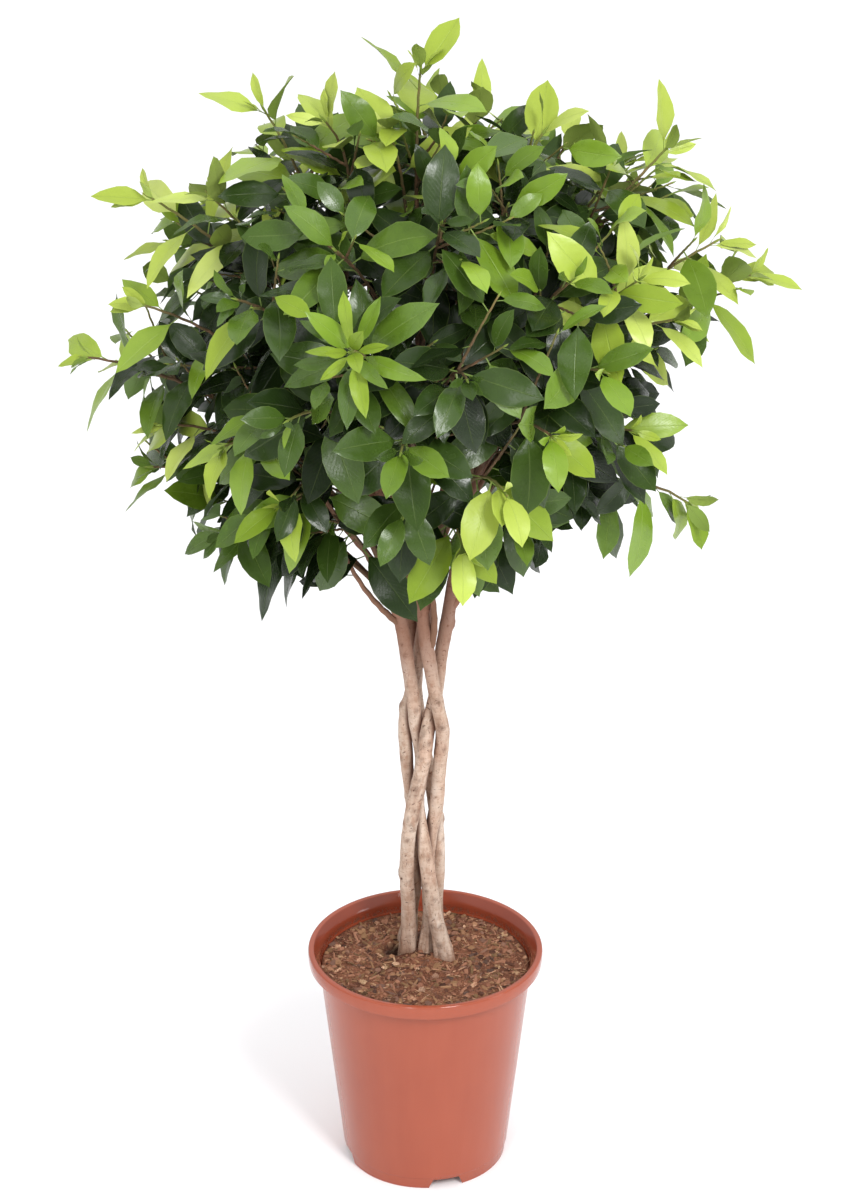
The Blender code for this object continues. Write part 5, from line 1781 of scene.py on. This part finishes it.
# %% Single old leaves along the limbs
SINGLE_PLACES = (0.42, 0.78)
SINGLE_HANG = 0.3
SINGLE_AGES = (0.0, 0.15)
limb_leaves = []
for name, branch in branches.items():
    for k in range(INNER_LEAVES):
        t = draw.uniform(*SINGLE_PLACES)
        root, axis = bezier(branch["controls"], t), bezier_heading(branch["controls"], t)
        leaf = grow_leaf(root, axis, OLDEST, draw.uniform(0, 2 * math.pi), SINGLE_HANG, draw, name)
        if leaf:
            limb_leaves.append((branch["stem"], leaf))
print(len(limb_leaves), "single leaves")

# %% [markdown]
# ## Bark
# Ficus bark is smooth and pale, tan to pinkish beige, with darker pores and thin scars. Young wood is
# redder, and the last of a twig is green. One finish serves all of it: each point stores how thick the wood
# is there, and a colour band turns thickness into age. Marks stored with the shape darken knots and rings.
# Painted shade darkens the bark where another stem almost touches it, and a painted shadow of the head
# makes the stems browner and darker towards the fork.


# %% Ficus bark
PORES = ((112.0, 0.07, 0.26, 0.50, 0.92), (190.0, 0.07, 0.30, 0.50, 0.80), (380.0, 0.10, 0.36, 0.35, 0.60))


def pores(tree, place, scale, low, high, share, depth):
    """Dark dots of one size on a share of the cells of a cell pattern."""
    wander = place.mixed(out(put(tree, "ShaderNodeTexNoise", {0: place, "Scale": 40.0}), 1), 0.08)
    cells = put(tree, "ShaderNodeTexVoronoi", {0: wander.stretched(1.0, 1.0, 0.75), "Scale": scale})
    dots = out(cells, "Distance").fade(low, high, depth, 0.0)
    return dots * out(cells, "Color").part(0).fade(share, share + 0.25)


def ficus_bark():
    finish, tree, place = new_finish("ficus_bark")
    girth, height = attribute(tree, "girth"), place.part(2)
    broad = place.stretched(1.0, 1.0, 0.35).grain(60.0, 4.0)
    bands = place.stretched(0.30, 0.30, 1.6).grain(210.0)
    fine = place.grain(900.0, 3.0, 0.6)
    old = (broad * 0.80 + bands * 0.20).ramp(
        (0.33, 150, 120, 100), (0.44, 184, 157, 138), (0.56, 203, 181, 163), (0.70, 217, 200, 185))
    old = old.mixed(paint(204, 162, 138), place.grain(26.0, 2.0).fade(0.46, 0.68) * 0.25)
    wood = (girth * 100.0).ramp(
        (0.09, 128, 150, 62), (0.13, 112, 112, 58), (0.17, 92, 76, 50), (0.3, 106, 80, 60),
        (0.52, 156, 118, 96))
    colour = wood.mixed(old, girth.fade(0.0042, 0.0060))
    first, *others = [pores(tree, place, *kind) for kind in PORES]
    for dots in others:
        first = first.math("MAXIMUM", dots)
    spots = first * girth.fade(0.0030, 0.0050)
    colour = colour.mixed(paint(74, 44, 32), spots)
    streaks = place.stretched(1.0, 1.0, 0.12).grain(420.0).fade(0.50, 0.72)
    colour = colour.mixed(paint(132, 98, 78), streaks * 0.20)
    blotches = place.stretched(1.0, 1.0, 0.6).grain(150.0, 3.0, 0.6).fade(0.52, 0.66)
    colour = colour.mixed(paint(150, 108, 82), blotches * 0.42)
    worn = attribute(tree, "mark") * fine.fade(0.30, 0.60, 0.55, 1.0)
    colour = colour.mixed(paint(84, 56, 42), worn * 0.85)
    # painted shade: the bark is painted darker brown where another stem almost touches it
    painted_crease_shade = attribute(tree, "crease_shade") + (broad - 0.5) * 0.5
    colour = colour.mixed(paint(98, 62, 45), painted_crease_shade.fade(0.15, 0.80, 0.0, 0.90))
    # painted shadow of the head: thick wood is painted browner and darker towards the fork
    upper = (height + broad * 0.05).fade(0.530, 0.635, 0.0, 0.80) * girth.fade(0.0026, 0.0048)
    colour = colour.mixed(paint(132, 88, 68), upper)
    splash = (height + broad * 0.02).fade(0.228, 0.246, 0.65, 0.0)
    colour = colour.mixed(paint(128, 92, 70), splash)
    feed(tree, Base_Color=colour, Roughness=0.78, Specular_IOR_Level=0.3)
    feed(tree, Normal=(fine * 0.6 + bands * 0.8 - spots * 0.7).relief(0.0005))
    return finish


bark = ficus_bark()


# %% [markdown]
# A limb is a tube whose foot widens into a collar where it leaves the stem. Short surface roots swell from
# the stems' feet and dip into the mix. Stem, limbs and roots grew as one, so they are one piece.


# %% Make the stems with their limbs
THICK_BARK = 0.006
LIMB_ROUNDS = 8
LIMB_RINGS = 16
COLLAR_LENGTH = 0.012
ROOT_RINGS = 12
ROOT_GIRTH = 0.0075
ROOT_CREASE_SHADE = 0.1
BARK_SEED = 4
ROOTS = {
    "stem_1": [(-42, 0.266, -0.0010, 0.0042), (34, 0.264, -0.0010, 0.0040)],
    "stem_2": [(-64, 0.262, 0.0, 0.0034), (52, 0.268, 0.0010, 0.0046)],
    "stem_3": [(-62, 0.262, 0.0010, 0.0026), (-2, 0.268, 0.0015, 0.0026)],
    "stem_4": [(75, 0.256, 0.0030, 0.0034), (150, 0.260, 0.0030, 0.0036)],
    "stem_5": [(-105, 0.258, 0.0030, 0.0034), (-170, 0.262, 0.0030, 0.0036)],
}


def wooden_shape(shape, girths, marks=None, crease_shades=None):
    """A shape of wood with what each of its points carries; plain bark has no marks and no crease shade."""
    plain = [0.0] * len(shape[0])
    return (*shape, girths, marks or plain, crease_shades or plain)


def stem_shape(stem, line, draw):
    start = Vector((line[1].x, line[1].y, STEM_VISIBLE_FROM))
    points = through([start] + line[1:], STEM_RING)
    radii = [stem_radius(stem, p.z) * STEM_FULLNESS for p in points]
    surface, faces = tube(points, radii, STEM_ROUNDS)
    rings, marks, girths, crease_shades = rings_up(draw), [], [], []
    for place, skin in enumerate(surface):
        centre, radius = points[place // STEM_ROUNDS], radii[place // STEM_ROUNDS]
        out_way = (skin - centre).normalized()
        move, mark = bark_offset(stem, skin, out_way, KNOTS[stem], rings)
        move = move * min(1.0, radius / THICK_BARK) + root_flare(stem, centre, out_way)
        surface[place] = skin + out_way * move
        marks.append(mark)
        girths.append(radius)
        crease_shades.append(crease_shade(stem, surface[place]))
    return wooden_shape((surface, faces), girths, marks, crease_shades)


def limb_shape(stem, branch):
    controls = branch["controls"]
    foot = stem_radius(stem, controls[0].z)
    thick = min(LIMB_RADIUS, LIMB_STEM_SHARE * foot)
    points, headings = along_curve(controls, 0.0, limb_end(controls), LIMB_RINGS)
    radii = []
    for i, point in enumerate(points):
        collar = 1 + 0.55 * bell(max((point - points[0]).length - foot, 0.0), COLLAR_LENGTH)
        lump = 1 + 0.10 * noise.noise(point * 90)
        radii.append((thick + (TWIG_RADIUS - thick) * i / LIMB_RINGS) * collar * lump)
    shape = tube(points, radii, LIMB_ROUNDS, headings)
    return wooden_shape(shape, [radius for radius in radii for _ in range(LIMB_ROUNDS)])


def root_shape(stem, side_deg, top, reach, thick):
    """A short surface root: a fold of the stem's foot that swells downwards and dips into the mix."""
    out_way = Vector((math.sin(math.radians(side_deg)), -math.cos(math.radians(side_deg)), 0.0))
    controls = []
    for height, away in ((top, -1.1 * thick), (0.252, -0.55 * thick), (0.236, -0.30 * thick)):
        controls.append(point_on(stem_lines[stem], height) + out_way * (stem_radius(stem, height) + away))
    away = stem_radius(stem, STEM_COLLAR) + reach - 0.2 * thick
    controls.append(point_on(stem_lines[stem], STEM_COLLAR) + out_way * away - Vector((0, 0, 0.010)))
    points, headings = along_curve(controls, 0.0, 1.0, ROOT_RINGS)
    radii = []
    for i, point in enumerate(points):
        radii.append(thick * (0.70 + 0.40 * (i / ROOT_RINGS) + 0.14 * noise.noise(point * 120)))
    shape = tube(points, radii, LIMB_ROUNDS, headings)
    count = len(shape[0])
    # roots carry a little painted crease shade
    return wooden_shape(shape, [ROOT_GIRTH] * count, crease_shades=[ROOT_CREASE_SHADE] * count)


def wooden_piece(name, shapes):
    """Shapes of wood (points, faces, girths, marks, crease shades) as one piece."""
    piece = mesh_piece(name, *joined([shape[:2] for shape in shapes]), bark)
    for place, label in enumerate(("girth", "mark", "crease_shade")):
        give(piece, label, [value for shape in shapes for value in shape[2 + place]])
    return piece


bark_draw = random.Random(BARK_SEED)
for stem, line in stem_lines.items():
    shapes = [stem_shape(stem, line, bark_draw)]
    shapes += [root_shape(stem, *root) for root in ROOTS[stem]]
    shapes += [limb_shape(stem, branch) for branch in branches.values() if branch["stem"] == stem]
    hand_over(wooden_piece(stem + "_bark", shapes), "bark", stem)

# %% [markdown]
# Twigs thin out towards a bud. The bud of a ficus is a pointed sheath, a little fatter at its middle than
# the twig tip. A faint zigzag runs along each twig, because a twig changes direction a little at every
# leaf. Old twigs are brown further out than young ones.

# %% Make the twigs
TWIG_ROUNDS = 6
TWIG_RINGS = 14
TWIG_ZIGZAG = 0.00035
TWIG_SLIM = (0.9, 0.85)
SHOOT_RADIUS = 0.0015
SHOOT_TIP_RADIUS = 0.0009
SHOOT_BUD = 0.007
LOW_LIMB_TAPER = 0.55
YOUNG_GIRTH = 0.0035
BUD_GIRTH = 0.0009
BUD_SHAPE = ((0.12, 1.12), (0.38, 1.18), (0.68, 0.72))


def twig_shape(controls, start, end, thick, thin, bud, age):
    """A tapering twig between two parameters of its curve, with its bud."""
    points, headings = along_curve(controls, start, end, TWIG_RINGS)
    for i in range(1, TWIG_RINGS):
        points[i] += headings[i].orthogonal().normalized() * TWIG_ZIGZAG * (-1) ** i
    radii = [thick + (thin - thick) * i / TWIG_RINGS for i in range(TWIG_RINGS + 1)]
    girths = [min(radius * (1.75 - 0.85 * age), YOUNG_GIRTH) for radius in radii]
    tip, ahead = points[-1], headings[-1]
    for share, size in BUD_SHAPE:
        points.append(tip + ahead * bud * share)
        headings.append(ahead)
        radii.append(thin * size)
        girths.append(BUD_GIRTH)
    points.append(tip + ahead * bud)
    shape = tube(points, radii, TWIG_ROUNDS, headings, pointed=True)
    return wooden_shape(shape, [girth for girth in girths for _ in range(TWIG_ROUNDS)] + [BUD_GIRTH])


for stem in stem_lines:
    shapes = []
    for name, branch in branches.items():
        if branch["stem"] == stem:
            start = limb_end(branch["controls"], -0.001)
            sizes = (TWIG_RADIUS * TWIG_SLIM[0], TWIG_TIP_RADIUS * TWIG_SLIM[1], BUD_LENGTH)
            shapes.append(twig_shape(branch["controls"], start, twig_ends[name], *sizes, branch["age"]))
    for shoot in shoots:
        if shoot["stem"] == stem:
            controls, thick, thin = shoot["controls"], SHOOT_RADIUS, SHOOT_TIP_RADIUS
            end = outer_end(controls, [leaf["root"] for leaf in shoot["leaves"]])
            if "thick" in shoot:
                thick, thin, end = shoot["thick"], shoot["thick"] * LOW_LIMB_TAPER, 1.0
            shapes.append(twig_shape(controls, 0.0, end, thick, thin, SHOOT_BUD, shoot["age"]))
    hand_over(wooden_piece(stem.replace("stem", "twigs"), shapes), "bark")

# %% [markdown]
# ## Leaf finish
# Young ficus leaves are light yellow-green, and with age they turn mid green, then a very dark green. Each
# leaf carries its age and a small change of tone as numbers, and a colour band reads them. The midrib is a
# thin paler line with fine side veins, the lower side is paler and duller, and the upper side has a waxy
# gloss.


# %% Ficus leaf
TONES = (0.80, 1.12)


def ficus_leaf():
    finish, tree, place = new_finish("ficus_leaf")
    blade_place = out(put(tree, "ShaderNodeUVMap", uv_map="blade"))
    across, along = blade_place.part(0), blade_place.part(1)
    age, tone, side = attribute(tree, "age"), attribute(tree, "tone"), attribute(tree, "side")
    cloud = place.grain(55.0) - 0.5
    colour = (age + cloud * 0.10).ramp(
        (0.0, 24, 38, 14), (0.20, 40, 59, 21), (0.38, 70, 96, 30), (0.54, 114, 144, 38),
        (0.72, 150, 172, 56), (0.88, 172, 190, 78), (1.0, 190, 204, 106),
    )
    grey = out(put(tree, "ShaderNodeCombineXYZ", {0: tone, 1: tone, 2: tone}))
    colour = colour.mixed(grey, 1.0, "MULTIPLY")
    from_rib = (across - 0.5).math("ABSOLUTE")
    rib = from_rib.fade(0.008, 0.026, 1.0, 0.0)
    waves = ((along * 15.0 - from_rib * 9.0) * math.pi).math("SINE").math("ABSOLUTE")
    veins = waves.fade(0.0, 0.22, 1.0, 0.0) * from_rib.fade(0.30, 0.47, 1.0, 0.0)
    paler = colour.mixed(paint(176, 200, 110), 0.35)
    colour = colour.mixed(paler, rib * age.fade(0.1, 0.6, 0.14, 0.42))
    colour = colour.mixed(paler, veins * 0.05)
    colour = colour.mixed(paler, from_rib.fade(0.465, 0.5) * 0.35)
    below = side.fade(0.2, 0.8)
    colour = colour.mixed(paint(112, 136, 92), below * 0.36)
    colour = colour.mixed(paint(128, 150, 70), side.fade(1.2, 1.8) * 0.65)
    rough = age.fade(0.0, 1.0, 0.24, 0.34) + below * 0.20 + cloud * 0.15
    height = rib * -0.7 + veins * -0.12 + place.grain(240.0, 2.0) * 0.6
    feed(tree, Base_Color=colour, Roughness=rough, Specular_IOR_Level=tone.fade(*TONES, 0.16, 0.52))
    feed(tree, Normal=height.relief(0.00035))
    return finish


leaf_finish = ficus_leaf()


# %% Make the eight blades
def blade_piece(name, pose):
    points, faces, places, sides = blade(pose)
    piece = mesh_piece(name, points, faces)
    layer = piece.data.uv_layers.new(name="blade")
    for loop in piece.data.loops:
        layer.uv[loop.index].vector = places[loop.vertex_index]
    give(piece, "side", sides, domain="FACE")
    return piece


blade_pieces = [blade_piece(name, pose) for name, pose in BLADE_POSES.items()]
blades = shape_collection("blades", blade_pieces)
print(len(blade_pieces), "blades of", len(blade_pieces[0].data.polygons), "faces")

# %% [markdown]
# ## Put the leaves on
# Each leaf is one point with its blade, turn, size, age and tone. A second Geometry Nodes tree copies that
# blade to the point, turned and sized by those numbers, then makes all copies real mesh. The age and tone
# travel with each copy, so the finish can read them.


# %% Leaf tree
def leaf_tree():
    tree, given, end = tree_with("put_leaves", {"Shapes": "Collection", "Finish": "Material"})
    turn, size = stored(tree, "turn", "FLOAT_VECTOR"), stored(tree, "size", "FLOAT_VECTOR")
    return end_in_copies(tree, given, end, given["Geometry"], stored(tree, "shape", "INT"), turn, size)


# %% Age of every leaf
YOUNG_SPRAY = 0.65
AGE_SEED = 8


def leaf_age(spray_age, index, draw):
    """The youngest leaves are at the tip and the brightest in a young spray."""
    fall = 0.17 - 0.09 * min(spray_age, 1.0)
    fresh = spray_age * max(1.10 - fall * index, 0.15)
    return min(max(fresh + draw.uniform(-0.15, 0.15), 0.0), 0.80 + 0.18 * draw.random())


age_draw = random.Random(AGE_SEED)
leaves_of, nodes_of = defaultdict(list), defaultdict(list)
for name, found in leaves.items():
    branch = branches[name]
    piece_key = (branch["stem"], "leaf_young" if branch["age"] > YOUNG_SPRAY else "leaf_old")
    nodes_of[piece_key].append("spray_" + name)
    leaves_of[piece_key] += [(leaf, leaf_age(branch["leaf_age"], leaf["index"], age_draw)) for leaf in found]
for shoot in shoots:
    for leaf in shoot["leaves"]:
        leaves_of[shoot["stem"], "leaf_old"].append((leaf, leaf_age(shoot["age"], leaf["index"], age_draw)))
for stem, leaf in limb_leaves:
    leaves_of[stem, "leaf_old"].append((leaf, age_draw.uniform(*SINGLE_AGES)))
print(sum(len(found) for found in leaves_of.values()), "leaves in", len(leaves_of), "pieces")

# %% Make the leaf pieces
RIM_SHARP_DEG = 70
putting = leaf_tree()
for (stem, slot), found in sorted(leaves_of.items(), key=lambda item: item[0]):
    piece = mesh_piece(stem.replace("stem", slot), [leaf["root"] for leaf, _ in found], [])
    give(piece, "turn", [leaf_frame(leaf).to_euler() for leaf, _ in found], "FLOAT_VECTOR")
    give(piece, "size", [Vector((1, leaf["width"], 1)) * leaf["length"] for leaf, _ in found], "FLOAT_VECTOR")
    give(piece, "shape", [leaf["shape"] for leaf, _ in found], "INT")
    give(piece, "age", [age for _, age in found])
    give(piece, "tone", [age_draw.uniform(*TONES) for _ in found])
    run_tree(piece, putting, Shapes=blades, Finish=leaf_finish)
    smooth(piece.data, RIM_SHARP_DEG)
    hand_over(piece, slot, *nodes_of[stem, slot])
drop_collection(blades)

# %% [markdown]
# ## Floor, light and camera
# A pale floor wide enough to fill the view, and a pale surround that is brighter overhead. A soft key light
# stands at the right and above, a weak one lower at the right, and a tall narrow one at the left, which
# draws the glint on the pot. The camera looks down on the pot from 3.4 m away, as in the photograph.


# %% Floor
FLOOR_HALF = 40.0


def pale_floor():
    finish, tree, place = new_finish("pale_floor")
    tint = place.grain(1.5, 2.0).ramp((0.3, 250, 249, 250), (0.7, 254, 253, 254))
    feed(tree, Base_Color=tint, Roughness=0.7, Specular_IOR_Level=0.15)
    return finish


corners = [(x * FLOOR_HALF, y * FLOOR_HALF, 0) for x, y in ((-1, -1), (1, -1), (1, 1), (-1, 1))]
floor = mesh_piece("floor", corners, [(0, 1, 2, 3)], pale_floor())
floor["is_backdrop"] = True


# %% Light
def soft_light(name, place, towards, width, tall, power):
    lamp = bpy.data.lights.new(name, "AREA")
    lamp.shape, lamp.size, lamp.size_y, lamp.energy = "RECTANGLE", width, tall, power
    light = bpy.data.objects.new(name, lamp)
    bpy.context.scene.collection.objects.link(light)
    light.location = place
    light.rotation_euler = (Vector(towards) - Vector(place)).to_track_quat("-Z", "Y").to_euler()


def studio_surround(low, high):
    """A pale surround that is brighter overhead than at eye level, as under a white ceiling."""
    world = bpy.data.worlds.new("studio")
    world.use_nodes = True
    tree, background = world.node_tree, world.node_tree.nodes["Background"]
    up = out(put(tree, "ShaderNodeTexCoord"), "Generated").part(2)
    background.inputs["Color"].default_value = (0.985, 0.99, 1.0, 1.0)
    connect(tree, background.inputs["Strength"], up.fade(-0.1, 0.9, low, high))
    bpy.context.scene.world = world


studio_surround(0.52, 1.25)
soft_light("key", (1.3, -2.7, 3.1), (0.0, 0.0, 0.7), 0.8, 1.3, 84.0)
soft_light("side", (2.4, -0.9, 0.8), (0.0, 0.0, 0.4), 0.5, 0.5, 3.0)
soft_light("window", (-0.8, -3.1, 2.3), (0.0, -0.1, 0.4), 0.32, 1.5, 18.0)

# %% Camera
CAMERA_PLACE = (-0.0029, -3.4, 2.26)
CAMERA_DOWN_DEG = 25.6
CAMERA_LENS = 115.8
CAMERA_SENSOR = 36.0
camera_lens = bpy.data.cameras.new("camera")
camera_lens.lens, camera_lens.sensor_width = CAMERA_LENS, CAMERA_SENSOR
camera = bpy.data.objects.new("camera", camera_lens)
bpy.context.scene.collection.objects.link(camera)
camera.location = CAMERA_PLACE
camera.rotation_euler = (math.radians(90 - CAMERA_DOWN_DEG), 0.0, 0.0)
bpy.context.scene.camera = camera
bpy.context.scene.view_settings.view_transform = "Standard"

# %% [markdown]
# ## Size
# The dressed tree is meant to fill the same box as the solids, so both boxes are printed: the solids' box
# at the start and the dressed tree's box at the end.

# %% Write the sizes and finish
visual_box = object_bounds()
low, high = [[round(v, 3) for v in corner] for corner in visual_box]
print("the dressed tree reaches from", low, "to", high)
